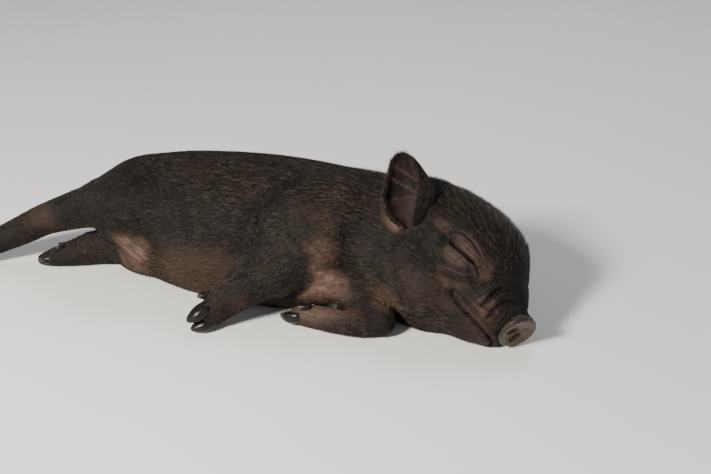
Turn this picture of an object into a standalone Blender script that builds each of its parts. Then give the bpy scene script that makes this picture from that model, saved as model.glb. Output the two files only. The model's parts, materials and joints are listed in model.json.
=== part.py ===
# Sleeping piglet of a small black breed, life size, lying on its belly and left side.
# The floor is z = 0. The snout points to +X, the back to +Y and the legs to -Y.
# Sizes are in millimetres here and are scaled to metres when a mesh is made.
import bpy
import bmesh
import numpy as np
from math import radians, sin, cos, pi
from mathutils import Matrix
from mathutils.bvhtree import BVHTree

MM = 0.001

# Driving dimensions
ROLL = radians(53)          # lean of the body on to its left side, from upright
NOD = radians(31)           # how far the head is bent down on the neck
AXIS_HEIGHT = 55            # height of the middle of the trunk above the floor
EYE_LINE = (203, 0, -16)    # point between the eyes, in the body's own frame
GAP = 0.3                   # clearance between pieces that touch
VOXEL = 2.6                 # cell of the remesh that fuses the fleshy masses
BODY_FACES = 4600           # triangles kept in the fused body before it is parted

# Frames: rows are the forward, right and up directions of each frame in the next one out
BODY_AXES = np.array([[1, 0, 0], [0, -cos(ROLL), sin(ROLL)], [0, sin(ROLL), cos(ROLL)]])
HEAD_AXES = np.array([[cos(NOD), 0, -sin(NOD)], [0, 1, 0], [sin(NOD), 0, cos(NOD)]])


def body_place(points):
    """From the body's frame (forward, right side, back) to the floor's frame."""
    return np.asarray(points, float) @ BODY_AXES + (0, 0, AXIS_HEIGHT)


def head_place(points):
    """From the head's frame (to the snout, right side, crown) to the floor's frame."""
    return body_place(np.asarray(points, float) @ HEAD_AXES + EYE_LINE)


def floor_place(points):
    """Points that are already in the floor's frame."""
    return np.asarray(points, float)


def unit(vector):
    vector = np.asarray(vector, float)
    return vector / np.linalg.norm(vector, axis=-1, keepdims=True)


def smooth_rows(rows, spans):
    """Catmull-Rom curve through rows of numbers, with the same number of steps in each span."""
    rows = np.asarray(rows, float)
    padded = np.vstack([2 * rows[0] - rows[1], rows, 2 * rows[-1] - rows[-2]])
    t = np.linspace(0, 1, spans, endpoint=False)[:, None]
    out = []
    for p0, p1, p2, p3 in zip(padded, padded[1:], padded[2:], padded[3:]):
        out.append(0.5 * (2 * p1 + (p2 - p0) * t + (2 * p0 - 5 * p1 + 4 * p2 - p3) * t ** 2
                          + (3 * p1 - p0 - 3 * p2 + p3) * t ** 3))
    return np.vstack(out + [rows[-1:]])


def new_object(name, bm):
    """Wrap a bmesh given in millimetres as an object in metres, faces outwards."""
    bm.normal_update()
    bmesh.ops.recalc_face_normals(bm, faces=bm.faces)
    bm.transform(Matrix.Scale(MM, 4))
    mesh = bpy.data.meshes.new(name)
    bm.to_mesh(mesh)
    bm.free()
    obj = bpy.data.objects.new(name, mesh)
    bpy.context.scene.collection.objects.link(obj)
    return obj


def loft_rings(name, rings, first_pole=None, last_pole=None):
    """Close a stack of equal rings into one skin, with a fan to a pole at each end.

    A ring without a pole runs forth and back over a wall, and its two halves are joined.
    """
    bm = bmesh.new()
    loops = [[bm.verts.new(p) for p in ring] for ring in rings]
    for lower, upper in zip(loops, loops[1:]):
        for i, vert in enumerate(lower):
            j = (i + 1) % len(lower)
            bm.faces.new((vert, lower[j], upper[j], upper[i]))
    for loop, pole in ((loops[0], first_pole), (loops[-1], last_pole)):
        if pole is None:
            for i in range(len(loop) // 2 - 1):
                bm.faces.new((loop[i], loop[i + 1], loop[-2 - i], loop[-1 - i]))
        else:
            tip = bm.verts.new(pole)
            for i, vert in enumerate(loop):
                bm.faces.new((vert, loop[(i + 1) % len(loop)], tip))
    return new_object(name, bm)


def limb(name, stations, place=floor_place, side=(0, 1, 0), grow=0, sides=16, spans=3, blunt=1.0):
    """Loft elliptical rings along a curve. A station is x, y, z, half width, half depth.

    Half width is measured along the given side direction. Both ends are rounded by
    rings that follow a quarter circle; blunt scales how far they stand out.
    """
    rows = smooth_rows(stations, spans)
    centre = rows[:, :3]
    wide = rows[:, 3] + grow
    deep = rows[:, 4] + grow
    along = unit(np.gradient(centre, axis=0))
    across = unit(side - (along @ np.asarray(side, float))[:, None] * along)
    up = np.cross(along, across)
    turn = np.linspace(0, 2 * pi, sides, endpoint=False)

    def ring(i, scale, shift):
        point = centre[i] + shift * along[i]
        return place(point + scale * (wide[i] * np.cos(turn)[:, None] * across[i]
                                      + deep[i] * np.sin(turn)[:, None] * up[i]))

    reach = blunt * np.minimum(wide, deep)
    caps = np.radians((66, 42, 20))
    rings = [ring(0, cos(c), -reach[0] * sin(c)) for c in caps]
    rings += [ring(i, 1, 0) for i in range(len(rows))]
    rings += [ring(-1, cos(c), reach[-1] * sin(c)) for c in caps[::-1]]
    return loft_rings(name, rings, place(centre[0] - reach[0] * along[0]),
                      place(centre[-1] + reach[-1] * along[-1]))


def ellipsoid(name, centre, radii, place=floor_place, axes=np.eye(3), rings=12, segments=20):
    """UV sphere stretched along three axes given as rows, all in the frame of place."""
    bm = bmesh.new()
    bmesh.ops.create_uvsphere(bm, u_segments=segments, v_segments=rings, radius=1)
    for vert in bm.verts:
        local = np.array(vert.co) * radii
        vert.co = place(local @ np.asarray(axes, float) + centre)
    return new_object(name, bm)


def evaluated(obj):
    """New mesh of what the object's modifiers make of it."""
    depsgraph = bpy.context.evaluated_depsgraph_get()
    return bpy.data.meshes.new_from_object(obj.evaluated_get(depsgraph))


def apply_modifiers(obj):
    """Replace the object's mesh by what its modifiers make of it."""
    mesh = evaluated(obj)
    old = obj.data
    obj.modifiers.clear()
    obj.data = mesh
    bpy.data.meshes.remove(old)


def is_closed(mesh):
    """True where the mesh has faces and each edge has exactly two of them."""
    bm = bmesh.new()
    bm.from_mesh(mesh)
    good = len(bm.faces) > 0 and all(len(edge.link_faces) == 2 for edge in bm.edges)
    bm.free()
    return good


def apply_boolean(obj, step):
    """Apply a Boolean by the EXACT solver, or by MANIFOLD where that leaves the mesh open."""
    mesh = evaluated(obj)
    if not is_closed(mesh):
        bpy.data.meshes.remove(mesh)
        step.solver = "MANIFOLD"
    else:
        bpy.data.meshes.remove(mesh)
    apply_modifiers(obj)


def discard(*objects):
    for obj in objects:
        bpy.data.meshes.remove(obj.data)


def copy_of(obj, name, grow=0.0):
    """Copy of an object, with its skin moved out by grow millimetres along its normals."""
    twin = bpy.data.objects.new(name, obj.data.copy())
    bpy.context.scene.collection.objects.link(twin)
    if grow:
        mesh = twin.data
        count = len(mesh.vertices)
        place = np.empty(count * 3)
        normal = np.empty(count * 3)
        mesh.vertices.foreach_get("co", place)
        mesh.vertices.foreach_get("normal", normal)
        mesh.vertices.foreach_set("co", place + grow * MM * normal)
        mesh.update()
    return twin


def boolean(obj, other, operation, solver="EXACT"):
    """Join, cut or keep the shared part, with one other object, and apply it."""
    step = obj.modifiers.new("boolean", "BOOLEAN")
    step.solver = solver
    step.operation = operation
    step.object = other
    apply_boolean(obj, step)


def union(name, pieces):
    """One Boolean union of closed meshes, applied. The pieces are removed."""
    others = bpy.data.collections.new(name + "_pieces")
    for piece in pieces[1:]:
        others.objects.link(piece)
    whole = pieces[0]
    whole.name = name
    step = whole.modifiers.new("union", "BOOLEAN")
    step.operation = "UNION"
    step.operand_type = "COLLECTION"
    step.collection = others
    apply_boolean(whole, step)
    discard(*pieces[1:])
    bpy.data.collections.remove(others)
    return whole


def keep_largest(obj):
    """Keep only the closed surface that holds the most, and drop scraps and hollows."""
    bm = bmesh.new()
    bm.from_mesh(obj.data)
    left = set(bm.faces)
    islands = []
    while left:
        island = [left.pop()]
        for face in island:
            for edge in face.edges:
                for near in edge.link_faces:
                    if near in left:
                        left.remove(near)
                        island.append(near)
        islands.append(island)

    def volume(island):
        total = 0.0
        for face in island:
            a = face.verts[0].co
            for b, c in zip(face.verts[1:], face.verts[2:]):
                total += a.dot(b.co.cross(c.co))
        return abs(total)

    islands.sort(key=volume)
    for island in islands[:-1]:
        bmesh.ops.delete(bm, geom=island, context="FACES")
    loose = [v for v in bm.verts if not v.link_faces]
    bmesh.ops.delete(bm, geom=loose, context="VERTS")
    bmesh.ops.triangulate(bm, faces=bm.faces)
    bm.to_mesh(obj.data)
    bm.free()


def weld_slivers(obj):
    """Merge points that a cut left closer than a hair, where the skin stays closed."""
    for distance in (0.03, 0.02, 0.01, 0.004, 0.001):
        bm = bmesh.new()
        bm.from_mesh(obj.data)
        bmesh.ops.remove_doubles(bm, verts=bm.verts, dist=distance * MM)
        bmesh.ops.dissolve_degenerate(bm, edges=bm.edges, dist=distance * MM)
        bmesh.ops.triangulate(bm, faces=bm.faces)
        sound = all(len(edge.link_faces) == 2 and edge.is_contiguous for edge in bm.edges)
        if sound:
            bm.to_mesh(obj.data)
        bm.free()
        if sound:
            return
    print(obj.name, "keeps its slivers")


def carve(obj, cutter, grow=GAP, solver="EXACT"):
    """Cut a copy of the cutter, grown by the clearance, out of the object."""
    tool = copy_of(cutter, "tool", grow)
    boolean(obj, tool, "DIFFERENCE", solver)
    discard(tool)


def part_off(whole, name, territory):
    """Take what lies inside the territory off the whole, as a new object.

    The MANIFOLD solver does this, because EXACT leaves faces there that touch along an edge.
    """
    piece = copy_of(whole, name)
    boolean(piece, territory, "INTERSECT", "MANIFOLD")
    keep_largest(piece)
    carve(whole, territory, solver="MANIFOLD")
    keep_largest(whole)
    return piece


def block(name, centre, axes, size, place=floor_place):
    """Box from a unit cube, sized along three axes given as rows."""
    bm = bmesh.new()
    bmesh.ops.create_cube(bm, size=1)
    for vert in bm.verts:
        vert.co = place((np.array(vert.co) * size) @ np.asarray(axes, float) + centre)
    return new_object(name, bm)


def split(whole, name, point, normal, place=floor_place):
    """Part the whole at a plane by a thin cut. The side that the normal points to is new."""
    normal = unit(normal)
    side = unit(np.cross(normal, (0.3, 0.2, 0.9)))
    axes = np.array([side, np.cross(normal, side), normal])
    reach = 400
    half = block("half", np.asarray(point) + (reach + GAP) / 2 * normal, axes, (reach,) * 3, place)
    piece = copy_of(whole, name)
    boolean(piece, half, "INTERSECT")
    keep_largest(piece)
    discard(half)
    near = block("near", np.asarray(point) + (reach - GAP) / 2 * normal, axes, (reach,) * 3, place)
    boolean(whole, near, "DIFFERENCE")
    keep_largest(whole)
    discard(near)
    return piece


# Trunk stations in the body's frame: forward, right, back, half width, half depth
TRUNK = [(-150, 0, 6, 13, 15), (-134, 0, 3, 32, 34), (-105, 0, 0, 47, 50), (-70, 0, -2, 56, 62),
         (-30, 0, -3, 61, 68), (15, 0, -2, 62, 70), (55, 0, 0, 58, 68), (90, 0, 2, 53, 63),
         (122, 0, 2, 49, 58), (150, 0, 0, 46, 54)]

# Head and muzzle stations in the head's frame: to the snout, right, crown
HEAD = [(-78, 0, 6, 30, 34), (-55, 0, 4, 44, 50), (-25, 0, 1, 48, 55), (5, 0, -2, 45, 50),
        (28, 0, -7, 36, 41), (42, 0, -12, 26, 30)]
MUZZLE = [(18, 0, -16, 29, 28), (42, 0, -12.5, 22, 18.5), (54, 0, -11, 19, 15.5),
          (66, 0, -9.3, 19, 17.2)]

# Legs in the floor's frame, from the root to the toes
FORE_RIGHT = [(72, -36, 70, 26, 24), (54, -54, 48, 21, 22), (37, -65, 40, 19, 19),
              (22, -76, 31, 17, 17), (10, -87, 23.5, 15.5, 14), (3, -94.5, 17.5, 14.5, 12),
              (-1.5, -100, 14.5, 12.5, 9.5)]
FORE_LEFT = [(75, -2, 16, 22, 22), (100, -30, 21, 19, 18), (126, -49, 18, 15, 14),
             (141, -56, 14, 13, 12.5)]
FOREFOOT_LEFT = [(141, -61, 12.5, 12, 12), (126, -67, 12, 11, 11.5), (108, -69, 11.5, 10.5, 11),
                 (90, -67, 11, 11, 11), (75, -66, 10, 10, 10), (66, -66, 9, 8, 8.5)]
HIND_RIGHT = [(-92, -36, 73, 32, 30), (-128, -30, 71, 24, 25), (-150, -27, 63.5, 20.5, 20.5),
              (-172, -25, 54.5, 18, 18), (-200, -26, 42.5, 15.5, 15.5), (-222, -35, 31.5, 14.3, 14.3),
              (-240, -46.5, 23.5, 12.8, 13), (-262, -59, 15, 12, 12), (-277, -67, 11, 9, 10)]
HIND_LEFT = [(-90, 2, 19, 28, 24), (-94, -12, 22, 26, 23), (-97, -25, 22, 23, 21),
             (-106, -26, 20, 20, 18.5), (-114, -24, 18.5, 17.5, 16)]
HINDFOOT_LEFT = [(-110, 0, 18, 19, 18), (-132, -9, 18.5, 18, 17), (-150, -16, 18, 17, 15.5),
                 (-168, -25, 14, 13.8, 13.5), (-186, -34, 10, 10, 10.5), (-196, -39, 7.5, 7.5, 7)]
TAIL = [(-132, 14, 63, 8, 8), (-143, 20, 59, 6.4, 6.4), (-152, 25, 48, 5.4, 5.4),
        (-156, 23, 32, 4.8, 4.8), (-158, 15, 16, 4.3, 4.3), (-166, 5, 6.8, 3.9, 3.9),
        (-180, -6, 3.6, 3.4, 3.4), (-195, -15.5, 2.9, 2.7, 2.7), (-207, -21, 4, 2.1, 2.1),
        (-216, -24, 8, 1.5, 1.5)]
UP = (0, 0, 1)


def fuse(obj, smoothing):
    """Remesh overlapping masses into one skin of even cells, and smooth the creases."""
    cells = obj.modifiers.new("cells", "REMESH")
    cells.mode = "VOXEL"
    cells.voxel_size = VOXEL * MM
    soften = obj.modifiers.new("soften", "SMOOTH")
    soften.factor = 0.5
    soften.iterations = smoothing
    apply_modifiers(obj)
    keep_largest(obj)


def cut_at_floor(obj):
    """Leave nothing under the floor, so that what touches it has a flat there."""
    ground = block("ground", (0, 0, -100), np.eye(3), (900, 900, 200))
    boolean(obj, ground, "DIFFERENCE")
    discard(ground)
    keep_largest(obj)


def make_body():
    """Fuse the masses of the body and head into one smooth closed skin on the floor.

    The trunk and head are fused first and smoothed most. The legs come after, so that
    their thin ends don't shrink.
    """
    masses = union("masses", [
        limb("trunk", TRUNK, body_place, sides=28),
        limb("skull", HEAD, head_place, sides=24),
        limb("muzzle", MUZZLE, head_place, blunt=0.25),
        ellipsoid("brow", (-9, 0, 29), (48, 39, 32), head_place),
        ellipsoid("jowl_right", (-20, 21, -36), (40, 28, 28), head_place),
        ellipsoid("jowl_left", (-20, -21, -36), (40, 28, 28), head_place),
        ellipsoid("lip_right", (36, 16, -24), (26, 11, 8), head_place),
        ellipsoid("lip_left", (36, -16, -24), (26, 11, 8), head_place),
        ellipsoid("throat", (114, 0, -22), (56, 44, 48), body_place),
        ellipsoid("shoulder", body_place((73, 36, -8)), (46, 27, 48), axes=BODY_AXES),
        ellipsoid("haunch", body_place((-92, 32, -6)), (50, 28, 46), axes=BODY_AXES),
    ])
    fuse(masses, 26)
    body = union("torso", [
        masses,
        limb("fore_right", FORE_RIGHT, side=UP, blunt=0.6),
        limb("fore_left", FORE_LEFT, side=UP),
        limb("forefoot_left", FOREFOOT_LEFT, side=UP, blunt=0.6),
        limb("hind_right", HIND_RIGHT, side=UP, blunt=0.6),
        limb("hind_left", HIND_LEFT, side=UP),
        limb("hindfoot_left", HINDFOOT_LEFT, side=UP, blunt=0.6),
        limb("tail_root", TAIL[:2], side=UP, sides=12),
    ])
    fuse(body, 8)
    thin = body.modifiers.new("thin", "DECIMATE")
    thin.ratio = BODY_FACES / (2 * len(body.data.polygons))
    apply_modifiers(body)
    cut_at_floor(body)
    return body


EAR_ROOT = np.array((-61.5, 42.9, -3.3))      # middle of the ear's foot, in the head's frame
EAR_TIP = np.array((-94.3, 67.8, 27.2))
EAR_FACE = np.array((0.485, 0.85, -0.205))    # where the open side of the cup looks
# Ear stations: part of the length, half width, depth of the cup, thickness, and the turns in
# degrees where its wall begins and ends, counted from the middle of the back wall
EAR = [(-0.15, 15.5, 10.5, 4.2, -140, 150), (0.0, 17.7, 11.5, 4.0, -122, 158),
       (0.15, 20, 11.5, 3.7, -104, 156), (0.32, 21.3, 11, 3.4, -97, 152),
       (0.5, 19, 9.3, 3.0, -94, 148), (0.7, 14.3, 6.6, 2.7, -93, 144),
       (0.88, 9.4, 4.2, 2.4, -91, 134), (0.98, 4.6, 2.8, 2.0, -90, 110), (1.02, 2.4, 1.8, 1.2, -90, 105)]
EAR_BOW = (2.5, -2.0)       # bend of the middle of the ear, to its front rim and to its face
EAR_TURNS = 11              # points over the inside of a ring, and as many over its outside

# Fold of skin that closes the foot of the cup, from its rear rim round to its front rim
LOBE = [(-66, 51, -13, 3, 3.6), (-62, 51, -17.5, 3.4, 3.8), (-56, 50, -17.5, 3.6, 4),
        (-51, 48.7, -14, 3.6, 4), (-48, 48, -8, 3.4, 3.8), (-48, 47.5, 0, 3, 3.4)]


def make_ear(name, sign):
    """Cone of skin, open down one side, that tapers to a round tip: rings along its length.

    A ring runs over the inside of the cup and back over its outside. Half width and depth
    are the two radii of an ellipse, and the wall is thinner at its rims.
    """
    along = unit(EAR_TIP - EAR_ROOT)
    face = unit(EAR_FACE - (along @ EAR_FACE) * along)
    across = np.cross(face, along)
    spread = np.linspace(-1, 1, EAR_TURNS)
    rings = []
    for part, wide, depth, thick, begin, finish in smooth_rows(EAR, 2):
        bow = sin(pi * min(max(part, 0), 1))
        middle = (EAR_ROOT + part * (EAR_TIP - EAR_ROOT) + EAR_BOW[0] * bow * across
                  + (0.35 * depth + EAR_BOW[1] * bow) * face)
        turn = np.radians((begin + finish) / 2 + (finish - begin) / 2 * spread)[:, None]
        wall = wide * np.sin(turn) * across - depth * np.cos(turn) * face
        normal = unit(np.sin(turn) / wide * across - np.cos(turn) / depth * face)
        half = (thick / 2 * (1 - 0.4 * np.abs(spread) ** 3))[:, None]
        ring = middle + np.vstack([wall - half * normal, (wall + half * normal)[::-1]])
        rings.append(head_place(ring * (1, sign, 1)))
    shell = loft_rings(name, rings)
    rows = [(x, y * sign, z, wide, deep) for x, y, z, wide, deep in LOBE]
    lobe = limb("lobe", rows, head_place, sides=8, spans=2)
    return union(name, [shell, lobe])


EYE_MIDDLE = np.array((2, 45.6, 0))      # middle of the eye's slit, in the head's frame
LIDS = (16, 7.6, 3.8)                    # half length, half height, bulge of the closed lids
SLIT = (12.6, 1.5, 6.0)                  # opening between the lids
EYE_SLIT = (12.0, 1.3, 4.2)              # the part of the eyeball that shows, and its depth
SLIT_ALONG = unit((29, -5, -0.5))        # from the outer corner to the inner one


def make_eye(body, side_name, sign):
    """Eye that shows in the slit between closed lids, with the lids round it."""
    flip = np.array((1, sign, 1))
    along = SLIT_ALONG * flip
    out = unit(np.array((0.17, 0.98, 0.08)) * flip)
    out = unit(out - (out @ along) * along)
    up = np.cross(along, out) * sign
    axes = np.array([along, up, out])
    middle = EYE_MIDDLE * flip
    lids = ellipsoid("lids", middle - 1.0 * out, LIDS, head_place, axes, 10, 20)
    boolean(body, lids, "UNION")
    discard(lids)
    slit = ellipsoid("slit", middle + 0.5 * out, SLIT, head_place, axes, 10, 16)
    boolean(body, slit, "DIFFERENCE")
    discard(slit)
    eye = ellipsoid("eye_" + side_name, middle - 3.6 * out, EYE_SLIT, head_place, axes, 8, 16)
    carve(body, eye)
    return eye


MOUTH = [(18, 38, -26), (21, 35, -30), (29, 29, -33), (38, 25, -33), (47, 18, -32), (53, 11, -31),
         (57, 4, -30)]
GROOVE = (1.3, 1.6)         # half width and half depth of the groove
DISC_MIDDLE = np.array((65.5, 0, -9))
DISC_TILT = radians(21)


def make_snout(body):
    """Snout disc with a rolled rim and two nostrils. It fits on the cut end of the muzzle."""
    front = np.array((cos(DISC_TILT), 0, -sin(DISC_TILT)))
    crown = np.array((sin(DISC_TILT), 0, cos(DISC_TILT)))
    axes = np.array([(0, 1, 0), crown, front])
    end = block("end", DISC_MIDDLE + 30 * front, axes, (80, 80, 60), head_place)
    boolean(body, end, "DIFFERENCE")
    discard(end)
    keep_largest(body)
    profile = [(15.5, 0), (17.4, 0.5), (18.4, 1.8), (18.3, 3.6), (17.0, 4.8), (14.4, 4.6), (9.0, 4.0)]
    turn = np.linspace(0, 2 * pi, 22, endpoint=False)
    rings = []
    for radius, height in profile:
        local = np.stack([1.05 * radius * np.cos(turn), 0.96 * radius * np.sin(turn),
                          np.full(len(turn), height + GAP)], 1)
        rings.append(head_place(local @ axes + DISC_MIDDLE))
    disc = loft_rings("snout", rings, head_place(DISC_MIDDLE + GAP * front),
                      head_place(DISC_MIDDLE + (3.9 + GAP) * front))
    for sign in (1, -1):
        hole = ellipsoid("nostril", DISC_MIDDLE + 4.6 * front + np.array((0, 8 * sign, 0)) - 1.0 * crown,
                         (3.2, 3.9, 3.8), head_place, axes, 8, 12)
        boolean(disc, hole, "DIFFERENCE")
        discard(hole)
    return disc


def carve_mouth(body):
    """Line of the mouth: a thin groove in the skin of each side, from the disc to the cheek."""
    skin = BVHTree.FromObject(body, bpy.context.evaluated_depsgraph_get())
    for sign in (1, -1):
        line = smooth_rows([(x, y * sign, z) for x, y, z in MOUTH], 2)
        on_skin = [skin.find_nearest(point * MM)[0] / MM for point in head_place(line)]
        rows = [(*point, *GROOVE) for point in on_skin]
        groove = limb("groove", rows, side=UP, sides=8, spans=1)
        boolean(body, groove, "DIFFERENCE")
        discard(groove)
        keep_largest(body)


# Feet: toe end, way the toes point, way from the outer claw to the inner one, and the side
# of the sole. Then half length, width and height of a claw and of a dewclaw, and how far
# behind the toe, out to its side and towards the sole a dewclaw sits.
FEET = {
    "forefoot_right": ((-5.7, -106.8, 12.2), (-0.605, -0.711, -0.356), (0.274, 0.2375, -0.932),
                       -1, (12.6, 6.2, 8.0), (7.2, 3.2, 3.6), (15, 12.2, 8)),
    "forefoot_left": ((62, -66, 8), (-1, 0.05, -0.2), (0.0, -0.95, 0.3),
                      1, (10.6, 4.9, 5.8), (5.7, 2.7, 2.9), (16, 6.5, 8.5)),
    "hindfoot_right": ((-276, -67, 10.5), (-0.8, -0.45, -0.35), (0.45, -0.85, 0.1),
                       1, (10.6, 5.0, 5.8), (5.7, 2.8, 3.0), (17, 9, 9)),
    "hindfoot_left": ((-197, -38.5, 7.0), (-0.87, -0.45, -0.15), (0.4, -0.8, 0.25),
                      1, (9.2, 4.5, 5.0), (5.3, 2.5, 2.7), (16, 8, 10)),
}


def claw_at(name, middle, size, forward, across, turned, rings, segments):
    """Ellipsoid of a claw, turned from straight forward towards its neighbour or away."""
    ahead = unit(forward + turned * across)
    side = unit(across - (across @ ahead) * ahead)
    axes = np.array([ahead, side, np.cross(ahead, side)])
    middle[2] = max(middle[2], 0.92 * np.linalg.norm(axes[:, 2] * size))
    return ellipsoid(name, middle, size, axes=axes, rings=rings, segments=segments)


def make_claws(foot_name, foot):
    """Two main claws let into the end of a foot, and two dewclaws that stay part of it."""
    toe, forward, across, way, claw_size, dew_size, behind = FEET[foot_name]
    toe = np.asarray(toe, float)
    forward = unit(forward)
    across = np.asarray(across, float)
    across = unit(across - (across @ forward) * forward)
    sole = np.cross(forward, across)
    sole = sole * np.sign(sole[2]) * way
    claws = []
    for number, sign in (("outer", -1), ("inner", 1)):
        middle = toe - behind[0] * forward + behind[1] * sign * across + behind[2] * sole
        dew = claw_at("dewclaw", middle, dew_size, forward, sign * across, 0.5, 6, 8)
        boolean(foot, dew, "UNION")
        discard(dew)
        middle = toe + (claw_size[1] + GAP) * sign * across - 1.5 * forward
        claw = claw_at(foot_name + "_claw_" + number, middle, claw_size, forward, sign * across,
                       -0.14, 7, 10)
        carve(foot, claw)
        claws.append(claw)
    return claws


def material(name, colour, roughness):
    """Principled finish with one colour, for the solids."""
    finish = bpy.data.materials.new(name)
    finish.use_nodes = True
    shader = finish.node_tree.nodes["Principled BSDF"]
    shader.inputs["Base Color"].default_value = (*colour, 1)
    shader.inputs["Roughness"].default_value = roughness
    shader.inputs["Metallic"].default_value = 0.0
    return finish


FINISHES = {
    "eye": ((0.01, 0.008, 0.007), 0.12),
    "snout": ((0.09, 0.075, 0.05), 0.4),
    "claw": ((0.02, 0.018, 0.018), 0.3),
    "ear": ((0.035, 0.026, 0.023), 0.6),
    "coat": ((0.022, 0.02, 0.02), 0.6),
}


def finish_for(name):
    for key in ("eye", "snout", "claw", "ear"):
        if key in name:
            return key
    return "coat"


LEG_GROWTH = 3.6            # how far a leg's share of the fused body reaches past its own masses


def take_limb(torso, name, stations):
    """Part a leg off the fused body, by a copy of its own masses grown a little."""
    territory = limb("territory", stations, side=UP, grow=LEG_GROWTH, sides=14, spans=2, blunt=0.5)
    piece = part_off(torso, name, territory)
    discard(territory)
    return piece


def part_legs(torso):
    """Legs and feet as pieces of their own."""
    shoulder_cut = (63, -46, 58, 22, 22)
    hip_cut = (-116, -32, 72, 25, 26)
    fore_right = take_limb(torso, "foreleg_right", [shoulder_cut] + FORE_RIGHT[1:])
    forefoot_right = split(fore_right, "forefoot_right", (10, -86, 23.5), (-0.62, -0.62, -0.48))
    hind_right = take_limb(torso, "hindleg_right", [hip_cut] + HIND_RIGHT[1:])
    hindfoot_right = split(hind_right, "hindfoot_right", (-226, -37, 30), (-0.75, -0.45, -0.48))
    forefoot_left = take_limb(torso, "forefoot_left", FOREFOOT_LEFT)
    fore_left = take_limb(torso, "foreleg_left", FORE_LEFT[1:])
    hindfoot_left = take_limb(torso, "hindfoot_left", HINDFOOT_LEFT[1:])
    hind_left = take_limb(torso, "hindleg_left", HIND_LEFT[1:])
    return [fore_right, forefoot_right, hind_right, hindfoot_right, forefoot_left, fore_left,
            hindfoot_left, hind_left]


def main():
    for obj in list(bpy.data.objects):
        bpy.data.objects.remove(obj)
    torso = make_body()
    nodes = part_legs(torso)
    head = split(torso, "head", (-76, 0, 0), (1, 0, 0), head_place)
    neck = split(torso, "neck", (106, 0, 0), (1, 0, -0.28), body_place)
    nodes += [torso, neck, head]

    for side_name, sign in (("right", 1), ("left", -1)):
        ear = make_ear("ear_" + side_name, sign)
        carve(ear, head, solver="MANIFOLD")
        carve(ear, neck, solver="MANIFOLD")
        nodes.append(ear)
    for side_name, sign in (("right", 1), ("left", -1)):
        nodes.append(make_eye(head, side_name, sign))
    nodes.append(make_snout(head))
    carve_mouth(head)
    tail = limb("tail", TAIL[1:], side=UP, sides=10, spans=2)
    carve(tail, torso)
    nodes.append(tail)

    by_name = {node.name: node for node in nodes}
    for foot_name in FEET:
        nodes += make_claws(foot_name, by_name[foot_name])
    for node in nodes:
        cut_at_floor(node)
        weld_slivers(node)

    finishes = {key: material(key, *look) for key, look in FINISHES.items()}
    pig = bpy.data.collections.new("piglet")
    bpy.context.scene.collection.children.link(pig)
    for node in nodes:
        bpy.context.scene.collection.objects.unlink(node)
        pig.objects.link(node)
        node.data.materials.clear()
        node.data.materials.append(finishes[finish_for(node.name)])
        print(node.name, len(node.data.polygons))


main()
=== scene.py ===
# %% [markdown]
# # A sleeping piglet
# The animal is a small black domestic piglet, life size, asleep on its belly and left side.
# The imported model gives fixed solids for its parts. This file dresses them: one skin from
# the lips to the tail, thin ears, eyes, a snout disc, claws and a short flat coat. Sizes in
# the tables are millimetres, and a mesh is scaled to metres when it is made.

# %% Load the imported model
import json
from math import cos, pi, radians, sin

import bpy
from mathutils import Matrix
import numpy as np

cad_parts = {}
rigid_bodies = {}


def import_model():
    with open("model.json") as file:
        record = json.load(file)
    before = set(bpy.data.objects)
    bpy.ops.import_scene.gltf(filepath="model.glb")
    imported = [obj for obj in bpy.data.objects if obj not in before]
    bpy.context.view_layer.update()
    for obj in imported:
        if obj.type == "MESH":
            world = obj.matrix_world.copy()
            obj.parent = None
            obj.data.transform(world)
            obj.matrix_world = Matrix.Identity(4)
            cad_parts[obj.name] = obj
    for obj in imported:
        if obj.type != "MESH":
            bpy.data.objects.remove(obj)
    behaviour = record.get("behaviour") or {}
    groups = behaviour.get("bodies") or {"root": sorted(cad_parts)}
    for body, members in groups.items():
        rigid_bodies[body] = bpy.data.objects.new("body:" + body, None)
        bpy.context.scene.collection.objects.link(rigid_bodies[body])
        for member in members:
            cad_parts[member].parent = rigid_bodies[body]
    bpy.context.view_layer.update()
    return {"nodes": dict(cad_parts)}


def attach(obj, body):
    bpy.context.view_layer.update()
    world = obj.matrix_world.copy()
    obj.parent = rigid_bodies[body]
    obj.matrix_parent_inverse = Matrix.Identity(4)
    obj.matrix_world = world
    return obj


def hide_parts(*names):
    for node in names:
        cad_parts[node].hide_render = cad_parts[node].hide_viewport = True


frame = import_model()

MM = 0.001
draw = np.random.default_rng(20)
print("nodes:", len(frame["nodes"]))

# %% [markdown]
# ## Three frames
# The trunk leans on its left side, so its stations are easier to write upright and then
# turned by the lean. The head is bent down from the trunk, so it has a frame of its own.
# The legs are written straight in the floor's frame, because they lie on the floor.

# %% Frames of the floor, the trunk and the head
ROLL = radians(53)
NOD = radians(31)
BODY_AXES = np.array([[1, 0, 0], [0, -cos(ROLL), sin(ROLL)], [0, sin(ROLL), cos(ROLL)]])
NOD_AXES = np.array([[cos(NOD), 0, -sin(NOD)], [0, 1, 0], [sin(NOD), 0, cos(NOD)]])


class Frame:
    """Rows of axes are the frame's forward, right and up directions in the floor's frame."""

    def __init__(self, axes, origin):
        self.axes = np.asarray(axes, float)
        self.origin = np.asarray(origin, float)

    def out(self, points):
        """Points of this frame as points of the floor's frame."""
        return np.asarray(points, float) @ self.axes + self.origin

    def into(self, points):
        """Points of the floor's frame as points of this one."""
        return (points - self.origin) @ self.axes.T


floor_frame = Frame(np.eye(3), (0, 0, 0))
body_frame = Frame(BODY_AXES, (0, 0, 55))
head_frame = Frame(NOD_AXES @ BODY_AXES, body_frame.out((203, 0, -16)))
print("point between the eyes:", np.round(head_frame.origin, 1))


def unit(vectors):
    """Vectors divided by their lengths."""
    vectors = np.asarray(vectors, float)
    return vectors / (np.linalg.norm(vectors, axis=-1, keepdims=True) + 1e-12)


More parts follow.
